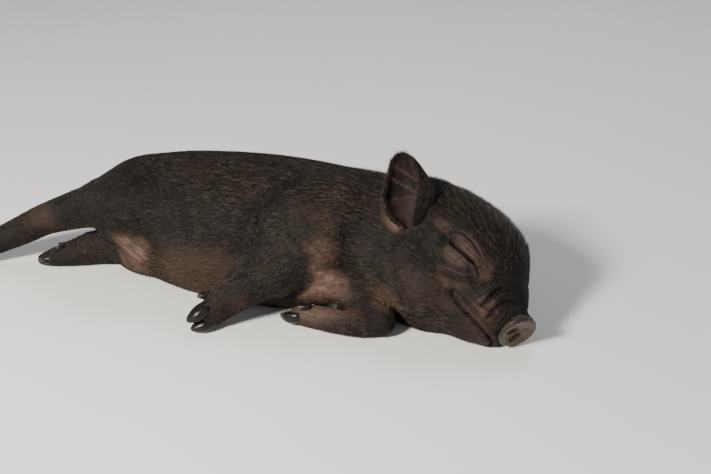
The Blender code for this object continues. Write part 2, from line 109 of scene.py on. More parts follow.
def square_to(vector, axis):
    """The vector without its part along a unit axis, made unit length."""
    return unit(vector - (vector @ axis) * axis)


# %% [markdown]
# ## Flesh as a field
# Flesh has no edges: masses run into each other in soft folds. A signed distance field
# gives that directly. Each mass says how far a point is from its surface, and a smooth
# minimum joins two masses with a fillet whose width is chosen, wide at the hip and narrow
# where a leg only lies against the belly.

# %% Curves and smooth joins
def smooth_rows(rows, spans):
    """Catmull-Rom curve through rows of numbers, the same number of steps in each span."""
    rows = np.asarray(rows, float)
    padded = np.vstack([2 * rows[0] - rows[1], rows, 2 * rows[-1] - rows[-2]])
    t = np.linspace(0, 1, spans, endpoint=False)[:, None]
    out = []
    for p0, p1, p2, p3 in zip(padded, padded[1:], padded[2:], padded[3:]):
        out.append(0.5 * (2 * p1 + (p2 - p0) * t + (2 * p0 - 5 * p1 + 4 * p2 - p3) * t ** 2
                          + (3 * p1 - p0 - 3 * p2 + p3) * t ** 3))
    return np.vstack(out + [rows[-1:]])


def soft_min(a, b, width):
    """Smaller of two distances, less a cubic fillet where they differ by under the width."""
    near = np.maximum(width - np.abs(a - b), 0) / width
    return np.minimum(a, b) - near ** 3 * width / 6


def soft_max(a, b, width):
    """Larger of two distances, joined in the same way."""
    return -soft_min(-a, -b, width)


def ramp(value, low, high):
    """0 below low, 1 above high, and a smooth step between."""
    t = np.clip((value - low) / (high - low), 0, 1)
    return t * t * (3 - 2 * t)


# %% Limbs
FAR = 60.0   # distance in mm given to points that are well away from a mass
CORE = 0.3   # inside this part of the radii the distance is a plain one


def stretched(k0, k1, least):
    """Distance to a stretched ball. k0 is the length of the offset divided by the radii, k1
    that of the offset divided by their squares, and least is the smallest radius."""
    return np.where(k0 < CORE, -least * (1 - k0), k0 * (k0 - 1) / k1)


class Limb:
    """Solid round a curve of stations: centre, half width along a side direction, half depth.
    Between two stations it is a stretched ball swept along the line."""

    def __init__(self, place, stations, side=(0, 1, 0), spans=3):
        rows = smooth_rows(stations, spans)
        self.place = place
        self.centre = rows[:, :3]
        self.radii = np.maximum(rows[:, 3:5], 0.5)
        self.along = unit(np.gradient(self.centre, axis=0))
        side = np.asarray(side, float)
        self.side = unit(side - (self.along @ side)[:, None] * self.along)
        self.up = np.cross(self.along, self.side)
        self.reach = self.radii.max() + 30

    def spans(self, local):
        """For each span: distance, part of the curve, and the scaled offsets sideways and up."""
        for j in range(len(self.centre) - 1):
            step = self.centre[j + 1] - self.centre[j]
            length = np.linalg.norm(step)
            offset = local - self.centre[j]
            forth = offset @ (step / length)
            t = np.clip(forth / length, 0, 1)
            over = forth - t * length
            across = offset @ self.side[j]
            lift = offset @ self.up[j]
            wide = self.radii[j, 0] + (self.radii[j + 1, 0] - self.radii[j, 0]) * t
            deep = self.radii[j, 1] + (self.radii[j + 1, 1] - self.radii[j, 1]) * t
            cap = np.minimum(wide, deep)
            k0 = np.sqrt((across / wide) ** 2 + (lift / deep) ** 2 + (over / cap) ** 2)
            k1 = np.sqrt((across / wide ** 2) ** 2 + (lift / deep ** 2) ** 2
                         + (over / cap ** 2) ** 2) + 1e-9
            part = (j + t) / (len(self.centre) - 1)
            yield stretched(k0, k1, cap), part, across / wide, lift / deep

    def distance(self, points):
        """Smallest distance to a span, for the points near the mass."""
        local = self.place.into(points)
        out = np.full(len(points), FAR)
        low = self.centre.min(0) - self.reach
        high = self.centre.max(0) + self.reach
        close = ((local > low) & (local < high)).all(1)
        best = np.full(close.sum(), FAR)
        for gap, _, _, _ in self.spans(local[close]):
            best = np.minimum(best, gap)
        out[close] = best
        return out

    def chart(self, points):
        """Distance, part of the way along, turn round the curve from -0.5 to 0.5, direction."""
        local = self.place.into(points)
        best = np.full(len(points), 1e6)
        part = np.zeros(len(points))
        turn = np.zeros(len(points))
        for gap, where, across, lift in self.spans(local):
            better = gap < best
            best[better] = gap[better]
            part[better] = where[better]
            turn[better] = np.arctan2(across[better], lift[better]) / (2 * pi)
        row = part * (len(self.centre) - 1)
        direction = np.stack([np.interp(row, np.arange(len(self.along)), self.along[:, k])
                              for k in range(3)], 1)
        return best, part, turn, unit(direction) @ self.place.axes


# %% Balls
class Ball:
    """Stretched ball: centre and radii along its frame's axes."""

    def __init__(self, place, centre, radii):
        self.place = place
        self.centre = np.asarray(centre, float)
        self.radii = np.asarray(radii, float)

    def distance(self, points):
        offset = self.place.into(points) - self.centre
        k0 = np.sqrt(((offset / self.radii) ** 2).sum(1))
        k1 = np.sqrt(((offset / self.radii ** 2) ** 2).sum(1)) + 1e-9
        return stretched(k0, k1, self.radii.min())


# %% [markdown]
# ## The piglet's measurements
# These stations are the same forms as in the solids. The trunk is barrel shaped and deep at
# the belly. The head is large, as in all piglets, with a domed forehead, full jowls and a
# short muzzle. The right legs lie on top, and the left ones come out from under the belly.

# %% Stations
UP = (0, 0, 1)
trunk = Limb(body_frame, [
    (-150, 0, 6, 13, 15), (-134, 0, 3, 32, 34), (-105, 0, 0, 47, 50), (-70, 0, -2, 56, 62),
    (-30, 0, -3, 61, 68), (15, 0, -2, 62, 70), (55, 0, 0, 58, 68), (90, 0, 2, 53, 63),
    (122, 0, 2, 49, 58), (150, 0, 0, 46, 54)], spans=6)
skull = Limb(head_frame, [
    (-78, 0, 6, 30, 34), (-55, 0, 4, 44, 50), (-25, 0, 0, 48, 54), (5, 0, -3, 44, 49),
    (28, 0, -8, 35, 39), (42, 0, -13, 25, 28)], spans=5)
muzzle = Limb(head_frame, [
    (18, 0, -17, 28, 28.5), (42, 0, -14, 21.5, 18.5), (54, 0, -12, 18.5, 15.2),
    (62, 0, -10.5, 18.2, 16.2), (70, 0, -9.5, 18.2, 17)], spans=5)
brow = Ball(head_frame, (-11, 0, 27), (47, 38, 30))
jowls = [Ball(head_frame, (-22, side, -36), (38, 28, 28)) for side in (22, -22)]
shoulder = Ball(body_frame, (75, 38, -8), (40, 26, 44))
haunch = Ball(body_frame, (-96, 34, -8), (44, 27, 42))
fore_right = Limb(floor_frame, [
    (72, -36, 70, 26, 24), (54, -54, 48, 21, 22), (37, -65, 40, 19, 19), (22, -76, 31, 17, 17),
    (10, -87, 23.5, 15.5, 14), (3, -94.5, 17.5, 14.5, 12), (-1.5, -100, 14.5, 12.5, 9.5)], UP)
fore_left = Limb(floor_frame, [
    (75, -2, 16, 22, 22), (100, -30, 21, 19, 18), (126, -49, 18, 15, 14),
    (141, -56, 14, 13, 12.5)], UP)
shin_left = Limb(floor_frame, [
    (141, -60, 12.5, 12, 12), (126, -67, 12, 11, 11.5), (108, -69, 11.5, 10.5, 11),
    (90, -67, 11, 11, 11), (75, -66, 10, 10, 10), (67, -66, 9, 8, 8.5)], UP)
hind_right = Limb(floor_frame, [
    (-92, -36, 73, 32, 30), (-128, -30, 71, 24, 25), (-150, -27, 63.5, 20.5, 20.5),
    (-172, -25, 54.5, 18, 18), (-200, -26, 42.5, 15.5, 15.5), (-222, -35, 31.5, 14.3, 14.3),
    (-240, -46.5, 23.5, 12.8, 13), (-262, -59, 15, 12, 12), (-279, -68, 11, 9, 10)], UP)
hind_left = Limb(floor_frame, [
    (-90, 2, 20, 28, 25), (-96, -19, 23, 22, 21.5), (-106, -20, 20.5, 20, 19),
    (-114, -20, 18.5, 18, 16.5)], UP)
foot_left = Limb(floor_frame, [
    (-110, 0, 18, 19, 18), (-132, -9, 18.5, 18, 17), (-150, -16, 18, 17, 15.5),
    (-168, -25, 14, 13.8, 13.5), (-186, -34, 10, 10, 10.5), (-199, -40, 7, 6.5, 6)], UP)
tail_core = Limb(floor_frame, [
    (-128, 14, 62, 9, 9), (-143, 20, 59, 6.2, 6.2), (-152, 25, 48, 5.2, 5.2),
    (-156, 23, 32, 4.6, 4.6), (-158, 15, 16, 4.1, 4.1), (-166, 5, 6.8, 3.7, 3.7),
    (-180, -6, 3.6, 3.1, 3.1), (-195, -15.5, 2.9, 2.4, 2.4), (-207, -21, 4, 1.8, 1.8),
    (-216, -24, 8, 1.2, 1.2)], UP)
ON_HEAD = [(brow, 20), (muzzle, 12), (jowls[0], 18), (jowls[1], 18)]   # mass, fillet in mm
ON_TRUNK = [(shoulder, 22), (haunch, 22)]
NECK_FILLET = 26
DISC_FILLET = 2
FLOOR_FILLET = 4
LEGS = [  # mass, where it joins the trunk, fillet there, fillet further out, reach of the first
    (fore_right, (72, -36, 70), 18, 3, 34), (fore_left, (75, -2, 16), 14, 3, 30),
    (shin_left, (141, -58, 13), 8, 2, 12), (hind_right, (-110, -34, 76), 24, 4, 36),
    (hind_left, (-90, 2, 19), 18, 4, 34), (foot_left, (-112, -14, 18), 20, 3, 26),
    (tail_core, (-132, 14, 63), 8, 2, 12)]

# %% [markdown]
# ## Ears
# A piglet's ear is a cone of thin skin, slit open down the side that faces out. Its front
# edge rolls over, so the outside of the front wall shows as well as the hollow. The foot of
# the ear belongs to the one skin: a short cone swells out of the head, and a hollow is
# pressed into it. The thin leaf is a surface of its own, because a grid this coarse would
# tear its rim. The far ear is the same shape mirrored.

# %% Measurements of the ear
EAR_ROOT = np.array((-61.5, 42.9, -3.3))
EAR_TIP = np.array((-94.3, 67.8, 27.2))
EAR_FACE = np.array((0.485, 0.850, -0.205))
# part of the length, half width, depth, thickness, and the turns of the two rims in degrees
# from the middle of the back wall
EAR = np.array([
    (-0.30, 14.0, 9.0, 3.0, -165, 174), (-0.12, 18.0, 11.0, 3.2, -132, 168),
    (0.00, 19.4, 11.5, 3.2, -113, 163), (0.13, 20.8, 11.5, 3.0, -103, 158),
    (0.30, 21.3, 11.0, 2.8, -97, 153), (0.47, 19.4, 9.5, 2.6, -94, 149),
    (0.63, 15.8, 7.5, 2.4, -93, 146), (0.80, 11.6, 5.0, 2.2, -92, 140),
    (0.92, 8.2, 3.2, 2.0, -91, 125), (1.00, 4.0, 1.8, 1.8, -90, 100)], float)
FOOT_FILLET = 6
LOBE_FILLET = 3.5
HOLLOW_FILLET = 1.6
LOBE = [(-68, 53, -18, 1.6, 2.2), (-65, 52.5, -20.5, 2.4, 2.8), (-60, 51, -21, 3.0, 3.2),
        (-54.5, 49.5, -18, 3.2, 3.4), (-49.5, 48.3, -12, 3.0, 3.2), (-48.5, 48.5, -3, 2.2, 2.8)]


# %% Ears as fields
class Ear:
    """Cone round a line from root to tip; sign is 1 for the right ear and -1 for the left.

    The foot is the cone's outside up to a fifth of its length, the hollow its inside.
    """

    def __init__(self, sign):
        self.flip = np.array((1, sign, 1))
        self.length = np.linalg.norm(EAR_TIP - EAR_ROOT)
        self.along = unit(EAR_TIP - EAR_ROOT)
        self.face = square_to(EAR_FACE, self.along)
        self.across = np.cross(self.face, self.along)
        lobe = [(x, y * sign, z, a, b) for x, y, z, a, b in LOBE]
        self.lobe = Limb(head_frame, lobe, spans=2)
        swell = np.array((3.5, 3.0, 2.4, 1.7, 0.5))
        self.foot = self.cone((-0.45, -0.3, -0.15, 0.0, 0.12), swell, 1.0, 0.0)
        self.hollow = self.cone((-0.07, 0.05, 0.2, 0.4, 0.7), -1.4, 1.2, 0.25)

    def middle(self, part, deep):
        """Middle of a cross-section: on the line, with a bow to the front and out."""
        part = np.asarray(part, float)[:, None]
        bow = np.sin(pi * np.clip(part, 0, 1))
        return (EAR_ROOT + part * self.length * self.along + 2.5 * bow * self.across
                + (0.35 * np.asarray(deep)[:, None] - 2.0 * bow) * self.face)

    def cone(self, parts, grow, stretch, forth):
        """Solid cone with the ear's sizes, wider by grow, its depth stretched to the front."""
        wide, deep = (np.interp(parts, EAR[:, 0], EAR[:, k]) for k in (1, 2))
        middle = (self.middle(parts, deep) + forth * deep[:, None] * self.face) * self.flip
        rows = np.column_stack([middle, wide + grow, deep * stretch + grow])
        return Limb(head_frame, rows, self.across * self.flip, spans=2)

    def shape(self, skin, points):
        """Join the foot and the lobe to the skin by fillets, and press the hollow in."""
        skin = soft_min(skin, self.foot.distance(points), FOOT_FILLET)
        skin = soft_min(skin, self.lobe.distance(points), LOBE_FILLET)
        return soft_max(skin, -self.hollow.distance(points), HOLLOW_FILLET)

    def inside(self, points):
        """1 on the wall of the hollow, 0 a millimetre and more away from it."""
        return ramp(-self.hollow.distance(points), -HOLLOW_FILLET, -0.6)


ears = [Ear(1), Ear(-1)]
print("ear length, mm:", round(ears[0].length, 1))

# %% [markdown]
# ## The whole skin
# The skin lies under the coat, so the field is moved inwards by the coat's depth. Where the
# body rests, the floor cuts it flat with a soft edge, as flesh does under its own weight.

# %% Field of the skin
COAT_DEPTH = 0.9
SKIN_LIFT = 0.1   # the skin's lowest points over the floor
HAIR_LIFT = 0.05   # the same of the hairs and claws
DISC_MIDDLE = np.array((65.5, 0, -9))
DISC_TILT = radians(21)
DISC_SEAT = 1.5   # the muzzle's cut end over the disc's middle
DISC_FRONT = np.array((cos(DISC_TILT), 0, -sin(DISC_TILT)))
DISC_CROWN = np.array((sin(DISC_TILT), 0, cos(DISC_TILT)))


def skin_field(points):
    """Distance to the skin: masses joined by smooth minima, then cut by the floor."""
    head = skull.distance(points)
    for mass, fillet in ON_HEAD:
        head = soft_min(head, mass.distance(points), fillet)
    past_disc = (head_frame.into(points) - DISC_MIDDLE) @ DISC_FRONT
    head = soft_max(head, past_disc - DISC_SEAT, DISC_FILLET)
    whole = soft_min(trunk.distance(points), head, NECK_FILLET)
    for mass, fillet in ON_TRUNK:
        whole = soft_min(whole, mass.distance(points), fillet)
    for mass, joint, near, far, reach in LEGS:
        away = ((points - joint) ** 2).sum(1)
        fillet = far + (near - far) * np.exp(-away / (2 * reach ** 2))
        whole = soft_min(whole, mass.distance(points), fillet)
    whole = whole + COAT_DEPTH
    for ear in ears:
        whole = ear.shape(whole, points)
    return soft_max(whole, SKIN_LIFT - points[:, 2], FLOOR_FILLET)


# %% [markdown]
# ## From field to mesh
# Surface nets put one vertex in each cell of a grid that the surface crosses, and join the
# cells round each crossed grid edge by a quad. The grid is drawn together at the face and
# ears by a lens, so that the small forms there get small quads and the flanks large ones.

# %% Lens
LENSES = [  # middle, strength, reach
    (head_frame.out((6, 42, -4)), 0.40, 24), (head_frame.out((6, -42, -4)), 0.30, 24),
    (head_frame.out((50, 8, -20)), 0.36, 20), (head_frame.out((-62, 47, -3)), 0.55, 22),
    (head_frame.out((-62, -47, -3)), 0.55, 22)]
CELL = 2.3


def lens(grid):
    """Draw grid points towards each lens's middle, by its strength times a bell curve."""
    out = grid.copy()
    for middle, strength, reach in LENSES:
        offset = grid - middle
        bell = np.exp(-(offset ** 2).sum(1) / (2 * reach ** 2))
        out -= strength * bell[:, None] * offset
    return out


print("lenses:", len(LENSES), "grid cell, mm:", CELL)

# %% Surface net
def in_parts(function, points, size=150000):
    """The function's values, worked out for part of the points at a time to spare memory."""
    return np.concatenate([function(points[i:i + size]) for i in range(0, len(points), size)])


def field_on_grid(field, low, count, cell, coarse):
    """Field at each grid point: worked out on a coarse grid, carried over to the points
    between by straight lines, and worked out again where it is near the surface."""
    rough = [low[k] + np.arange((count[k] - 1) // coarse + 1) * cell * coarse for k in range(3)]
    rough_points = np.stack(np.meshgrid(*rough, indexing="ij"), -1).reshape(-1, 3)
    value = in_parts(lambda p: field(lens(p)), rough_points).reshape([len(r) for r in rough])
    for axis in range(3):
        value = np.moveaxis(value, axis, 0)
        spot = np.arange(count[axis]) / coarse
        first = np.minimum(spot.astype(int), len(value) - 2)
        t = (spot - first)[:, None, None]
        value = np.moveaxis(value[first] * (1 - t) + value[first + 1] * t, 0, axis)
    close = np.abs(value) < cell * coarse * 1.3
    value[close] = in_parts(lambda p: field(lens(p)), low + np.argwhere(close) * cell)
    return value


def crossed_cells(value):
    """Cells that the surface crosses, and the mean of the crossings of each one's edges."""
    inside = value < 0
    size = np.array(value.shape) - 1
    corners = [np.array((i, j, k)) for i in (0, 1) for j in (0, 1) for k in (0, 1)]
    total = sum(inside[tuple(slice(c[k], size[k] + c[k]) for k in range(3))].astype(np.int8)
                for c in corners)
    cells = np.argwhere((total > 0) & (total < 8))
    place = np.zeros((len(cells), 3))
    hits = np.zeros(len(cells))
    for corner in corners:
        for axis in np.flatnonzero(corner == 0):
            other = corner.copy()
            other[axis] = 1
            a = value[tuple((cells + corner).T)]
            b = value[tuple((cells + other).T)]
            cross = (a < 0) != (b < 0)
            at = np.tile(corner.astype(float), (cross.sum(), 1))
            at[:, axis] = a[cross] / (a[cross] - b[cross])
            place[cross] += at
            hits[cross] += 1
    return cells, cells + place / hits[:, None]


def net_quads(inside, cells):
    """A quad of four cells round each grid edge that has one end inside and one outside."""
    size = np.array(inside.shape) - 1
    number = np.full(tuple(size), -1)
    number[tuple(cells.T)] = np.arange(len(cells))
    quads = []
    for axis in range(3):
        here = [slice(None)] * 3
        there = [slice(None)] * 3
        here[axis] = slice(0, size[axis])
        there[axis] = slice(1, size[axis] + 1)
        edge = np.argwhere(inside[tuple(here)] != inside[tuple(there)])
        one, two = [k for k in range(3) if k != axis]
        sound = ((edge[:, one] > 0) & (edge[:, two] > 0)
                 & (edge[:, one] < size[one]) & (edge[:, two] < size[two]))
        edge = edge[sound]
        corners = []
        for back_one, back_two in ((1, 1), (0, 1), (0, 0), (1, 0)):
            spot = edge.copy()
            spot[:, one] -= back_one
            spot[:, two] -= back_two
            corners.append(number[tuple(spot.T)])
        quad = np.stack(corners, 1)
        turned = inside[tuple(edge.T)] != (axis == 1)
        quad[~turned] = quad[~turned][:, ::-1]
        quads.append(quad)
    return np.vstack(quads)


def surface_net(field, low, high, cell, coarse=3):
    """Vertices and quads where the field changes sign, on a grid bent by the lens."""
    low = np.asarray(low, float)
    count = (np.ceil((np.asarray(high) - low) / (cell * coarse)).astype(int)) * coarse + 1
    value = field_on_grid(field, low, count, cell, coarse)
    cells, places = crossed_cells(value)
    return lens(low + places * cell), net_quads(value < 0, cells)


def two_triangles(quads):
    """Each quad as two triangles: the first halves of all quads, then the second ones."""
    return np.vstack([quads[:, [0, 1, 2]], quads[:, [0, 2, 3]]])


def face_edges(faces):
    """Pairs of vertices along the sides of the faces: all the first sides, then the next."""
    sides = faces.shape[1]
    return np.vstack([faces[:, [k, (k + 1) % sides]] for k in range(sides)])


def summed(index, vectors, count):
    """For each number below count, the sum of the vectors that have it as their index."""
    return np.stack([np.bincount(index, vectors[:, k], count) for k in range(3)], 1)


# %% Slope of the field, and vertices that settle on the skin
def slope(field, points, step=0.25):
    """Gradient of the field from four points of a tetrahedron round each point."""
    total = np.zeros_like(points)
    for arm in np.array([(1, -1, -1), (-1, -1, 1), (-1, 1, -1), (1, 1, 1)], float):
        total += arm * in_parts(field, points + step * arm)[:, None]
    return total / (4 * step)


def settle(points, faces, field, rounds, slide=0.6):
    """Slide vertices along the skin to even out the faces, then back on to the skin."""
    edges = np.unique(np.sort(face_edges(faces), 1), axis=0)
    both = np.vstack([edges, edges[:, ::-1]])
    degree = np.bincount(both[:, 0], minlength=len(points))[:, None]
    for _ in range(rounds):
        mean = summed(both[:, 0], points[both[:, 1]], len(points)) / degree
        grade = slope(field, points)
        normal = unit(grade)
        move = mean - points
        points = points + slide * (move - (move * normal).sum(1)[:, None] * normal)
        off = in_parts(field, points)
        steep = np.maximum((grade ** 2).sum(1), 0.25)
        points = points - np.clip(off / steep, -1.5, 1.5)[:, None] * grade
    return points, unit(slope(field, points))


# %% Finer triangles where the forms are small
FINE_ZONES = [  # frame, middle, radii, longest edge in mm
    (head_frame, (2, 44, 1), (26, 14, 18), 0.62), (head_frame, (2, -44, 1), (26, 14, 18), 0.8),
    (head_frame, (42, 0, -14), (34, 44, 30), 0.95), (head_frame, (-62, 46, 2), (26, 18, 26), 1.1),
    (head_frame, (-62, -46, 2), (26, 18, 26), 1.2)]
ANY_EDGE = 99.0   # longest edge outside the zones
TOO_LONG = 1.35   # an edge is halved when it is this many times longer than wanted
SKIN_BOX = ((-306, -136, -5), (292, 108, 158))   # holds the whole skin


def longest_edge(points):
    """Edge length wanted at each point: the smallest of the zones that hold it."""
    wanted = np.full(len(points), ANY_EDGE)
    for place, middle, radii, length in FINE_ZONES:
        away = np.linalg.norm((place.into(points) - middle) / radii, axis=1)
        here = np.where(away < 1.2, length * (1 + 2 * ramp(away, 0.7, 1.2)), ANY_EDGE)
        wanted = np.minimum(wanted, here)
    return wanted


def refine(points, triangles):
    """Halve each edge that is too long. A triangle with one, two or three halved edges
    becomes two, three or four, so that neighbours still share all their edges."""
    edges, where = np.unique(np.sort(face_edges(triangles), 1), axis=0, return_inverse=True)
    where = where.reshape(3, -1).T
    middle = points[edges].mean(1)
    length = np.linalg.norm(points[edges[:, 0]] - points[edges[:, 1]], axis=1)
    split = length > TOO_LONG * longest_edge(middle)
    number = np.full(len(edges), -1)
    number[split] = len(points) + np.arange(split.sum())
    new = number[where]
    halved = new >= 0
    count = halved.sum(1)
    out = [triangles[count == 0]]
    for k in range(3):
        a, b, c = (triangles[:, (k + j) % 3] for j in range(3))
        ab, bc, ca = (new[:, (k + j) % 3] for j in range(3))
        one = (count == 1) & halved[:, k]
        out += [np.stack([a, ab, c], 1)[one], np.stack([ab, b, c], 1)[one]]
        two = (count == 2) & ~halved[:, k]
        out += [np.stack([c, ca, bc], 1)[two], np.stack([ca, a, b], 1)[two],
                np.stack([ca, b, bc], 1)[two]]
    full = count == 3
    a, b, c = triangles[full].T
    ab, bc, ca = new[full].T
    out += [np.stack(t, 1) for t in ((a, ab, ca), (ab, b, bc), (ca, bc, c), (ab, bc, ca))]
    return np.vstack([points, middle[split]]), np.vstack(out)


skin_points, skin_quads = surface_net(skin_field, *SKIN_BOX, CELL)
skin_points, _ = settle(skin_points, skin_quads, skin_field, 2)
skin_faces = two_triangles(skin_quads)
for _ in range(2):
    skin_points, skin_faces = refine(skin_points, skin_faces)
skin_points, skin_normals = settle(skin_points, skin_faces, skin_field, 2, 0.4)
print("skin:", len(skin_points), "vertices,", len(skin_faces), "triangles")

# %% [markdown]
# ## Folds, lids and the line of the mouth
# The small forms of the skin are grooves and ridges along curves. Each one moves the
# vertices near its curve in or out by a bell curve of their distance. The eye is shut, so
# its slit is the deepest groove, with the swell of the eyeball and the two lids round it.

# %% Curves on the skin
def on_skin(place, line):
    """Smooth curve through the line's points, moved on to the skin down the field's slope."""
    points = place.out(smooth_rows(line, 3))
    for _ in range(4):
        grade = slope(skin_field, points)
        steep = np.maximum((grade ** 2).sum(1), 0.3)
        points = points - (skin_field(points) / steep)[:, None] * grade
    return place.into(points)


def near_line(points, line):
    """Distance to a bent line, and the part of the way along it."""
    best = np.full(len(points), 1e6)
    part = np.zeros(len(points))
    for j, (a, b) in enumerate(zip(line, line[1:])):
        step = b - a
        t = np.clip((points - a) @ step / (step @ step), 0, 1)
        gap = np.linalg.norm(points - a - t[:, None] * step, axis=1)
        better = gap < best
        best[better] = gap[better]
        part[better] = (j + t[better]) / (len(line) - 1)
    return best, part


def shifted(line, forward=0, up=0, out=0):
    """The same curve, moved by so many mm."""
    return [(x + forward, y + out, z + up) for x, y, z in line]


# %% Grooves and ridges of the face
EYE_LINE = [(-14.7, 47, 1.9), (-8.6, 46.6, 0.2), (-1.2, 46.2, -0.3), (6.3, 44.8, 0.0),
            (12.9, 43, 0.4), (18.7, 41, 0.3)]
MOUTH_LINE = [(18.5, 37.4, -28.0), (20, 35.5, -30), (22, 33.5, -31), (29, 29, -32.5),
              (38, 25, -33), (47, 18, -32), (54, 11, -31), (58, 2, -30)]
LID_FOLD = [(-17.4, 46.9, 2.2), (-18.5, 46.9, 7.5), (-14, 46.5, 11.8), (-6.5, 45.0, 13.6),
            (2.1, 44.2, 13.0), (11.0, 42.2, 10.2), (19.5, 40.2, 6.0)]
LOWER_FOLD = [(-15, 47, -7), (-10.5, 46.6, -11.8), (-3.5, 44.8, -14.2), (4.5, 43, -13.8),
              (11.5, 41.8, -11.2), (17.5, 41, -7), (20.5, 40.5, -2.5)]
BROW_FOLD = [(-26, 47.8, 3.0), (-24.3, 46.4, 11), (-17.5, 44.6, 18), (-7.1, 43, 20.6),
             (5, 41, 19.5), (16, 38, 15.5)]
ARCH = [(41.5, 27.7, -22), (42.6, 29.4, -15), (42.6, 30.3, -6), (43.6, 29.2, 1.5),
        (47.7, 25.2, 6.8), (53, 18.5, 9.8), (56.5, 10, 10.5), (57.5, 0, 10.5)]
RIM_ARCH = [(50, 23.2, -22), (50.5, 24.5, -15), (51.5, 24.8, -7.5), (54, 22, 0.0),
            (57.5, 17, 5.0), (60, 10, 7.5), (61, 0, 8.0)]
EYE_SWELL = 1.3   # height in mm of the swell of the shut eye
EYE_SPREAD = 11   # and its half width
# curve in the head's frame, height in mm (negative is a groove), half width, and whether
# its ends fade out
FACE_FORMS = [
    (EYE_LINE, -5.2, 1.15, True),
    (shifted(EYE_LINE, up=3.0), 1.7, 1.5, True),
    (shifted(EYE_LINE, up=-2.7), 0.4, 1.2, True),
    (shifted(EYE_LINE, up=7.5), 1.6, 4.2, True),
    (shifted(EYE_LINE, up=-7.5), 1.0, 3.8, True),
    (LID_FOLD, -1.5, 1.6, True),
    (LOWER_FOLD, -1.1, 2.2, True),
    (BROW_FOLD, -0.7, 2.8, True),
    (shifted(LID_FOLD, forward=-1, up=3.4), 0.5, 1.8, True),
    (shifted(LOWER_FOLD, up=-4.0), 0.5, 2.2, True),
    (shifted(LID_FOLD, forward=3, up=-4.4)[1:], -0.5, 0.8, True),
    (shifted(LOWER_FOLD, forward=-2, up=5.0)[:5], -0.6, 0.8, True),
    (shifted(LOWER_FOLD, forward=4, up=-6.4)[2:], -0.9, 1.8, True),
    ([(-20, 47.2, 4.5), (-17, 47.3, -2), (-14.5, 46.8, -9)], -2.0, 2.2, True),
    ([(18.7, 41, 0.3), (22, 40.2, -2.0), (27, 38.4, -5.0)], -1.6, 1.3, True),
    ([(20, 40.5, 3.5), (25, 38.5, 2), (30, 36.5, -1)], -0.8, 1.0, True),
    ([(21, 40.0, 7.5), (26, 38, 7), (32, 35.5, 5)], -0.7, 1.0, True),
    (MOUTH_LINE[:5], -5.2, 1.5, False),
    (MOUTH_LINE[4:], -4.2, 1.3, False),
    (shifted(MOUTH_LINE, forward=-2.8, up=-4.6), 1.0, 2.6, True),
    (shifted(MOUTH_LINE, forward=2.8, up=4.4), 1.3, 2.4, True),
    ([(14, 40, -20), (15, 39.5, -25), (17, 38, -30), (20, 36, -35)], -0.7, 3.2, True),
    ([(9, 41.5, -19), (11, 41, -26), (13, 39.5, -32)], 1.2, 3.0, True),
    ([(22, 37, -25), (29, 34, -25.5), (38, 29.5, -26), (46, 25, -24)], -1.1, 1.3, True),
    ([(24, 36.5, -19), (32, 34, -20.5), (42, 29, -20), (50, 24.5, -17)], -0.9, 1.2, True),
    ([(28, 36, -13), (36, 33, -14), (44, 28.5, -13.5)], -0.7, 1.1, True),
    (ARCH, -2.3, 2.0, True),
    (RIM_ARCH, -2.2, 1.5, True),
    (shifted(ARCH, forward=-6, up=2, out=2)[2:], -1.1, 1.7, True),
    (shifted(ARCH, forward=-11, up=1, out=3)[:5], -0.6, 1.8, True),
    (shifted(ARCH, forward=4.4, up=-1.4, out=-2), 1.3, 1.9, True),
    (shifted(ARCH, forward=-3.0, up=1, out=1), 1.0, 1.7, True),
    (shifted(RIM_ARCH, forward=3.4, up=-0.8, out=-1), 0.9, 1.3, True),
    ([(48.5, 22.7, -25), (51.8, 23.3, -20), (53, 23.5, -15.4)], -1.3, 1.1, True),
    ([(37, 32, -16), (45, 28, -17.5), (52, 24.5, -15)], -0.6, 1.0, True),
    ([(33, 33.5, 7.3), (36, 31, 12), (38, 22, 18), (38, 0, 21)], -1.2, 2.4, False),
    ([(56, 20, -4), (58, 18, -18), (58, 14, -25)], 0.8, 1.2, True),
    ([(-1.6, 44.3, -22), (9.6, 40.8, -19.9), (20.2, 39.1, -14.4), (28.8, 37.4, -7),
      (35.6, 34.5, -2.8)], -1.2, 2.8, True),
    ([(6, 42, -26), (16, 39, -19), (27, 36, -12)], 0.7, 3.0, True),
    ([(-41, 44, -46), (-27, 43, -53), (-17, 37, -57), (-12, 20, -61)], -2.8, 5.0, True),
    ([(-48, 49.5, -13), (-48.4, 48.5, -18), (-47, 48, -26), (-46, 46.8, -37)], -2.2, 3.2, True),
]
print("forms of the face:", len(FACE_FORMS))

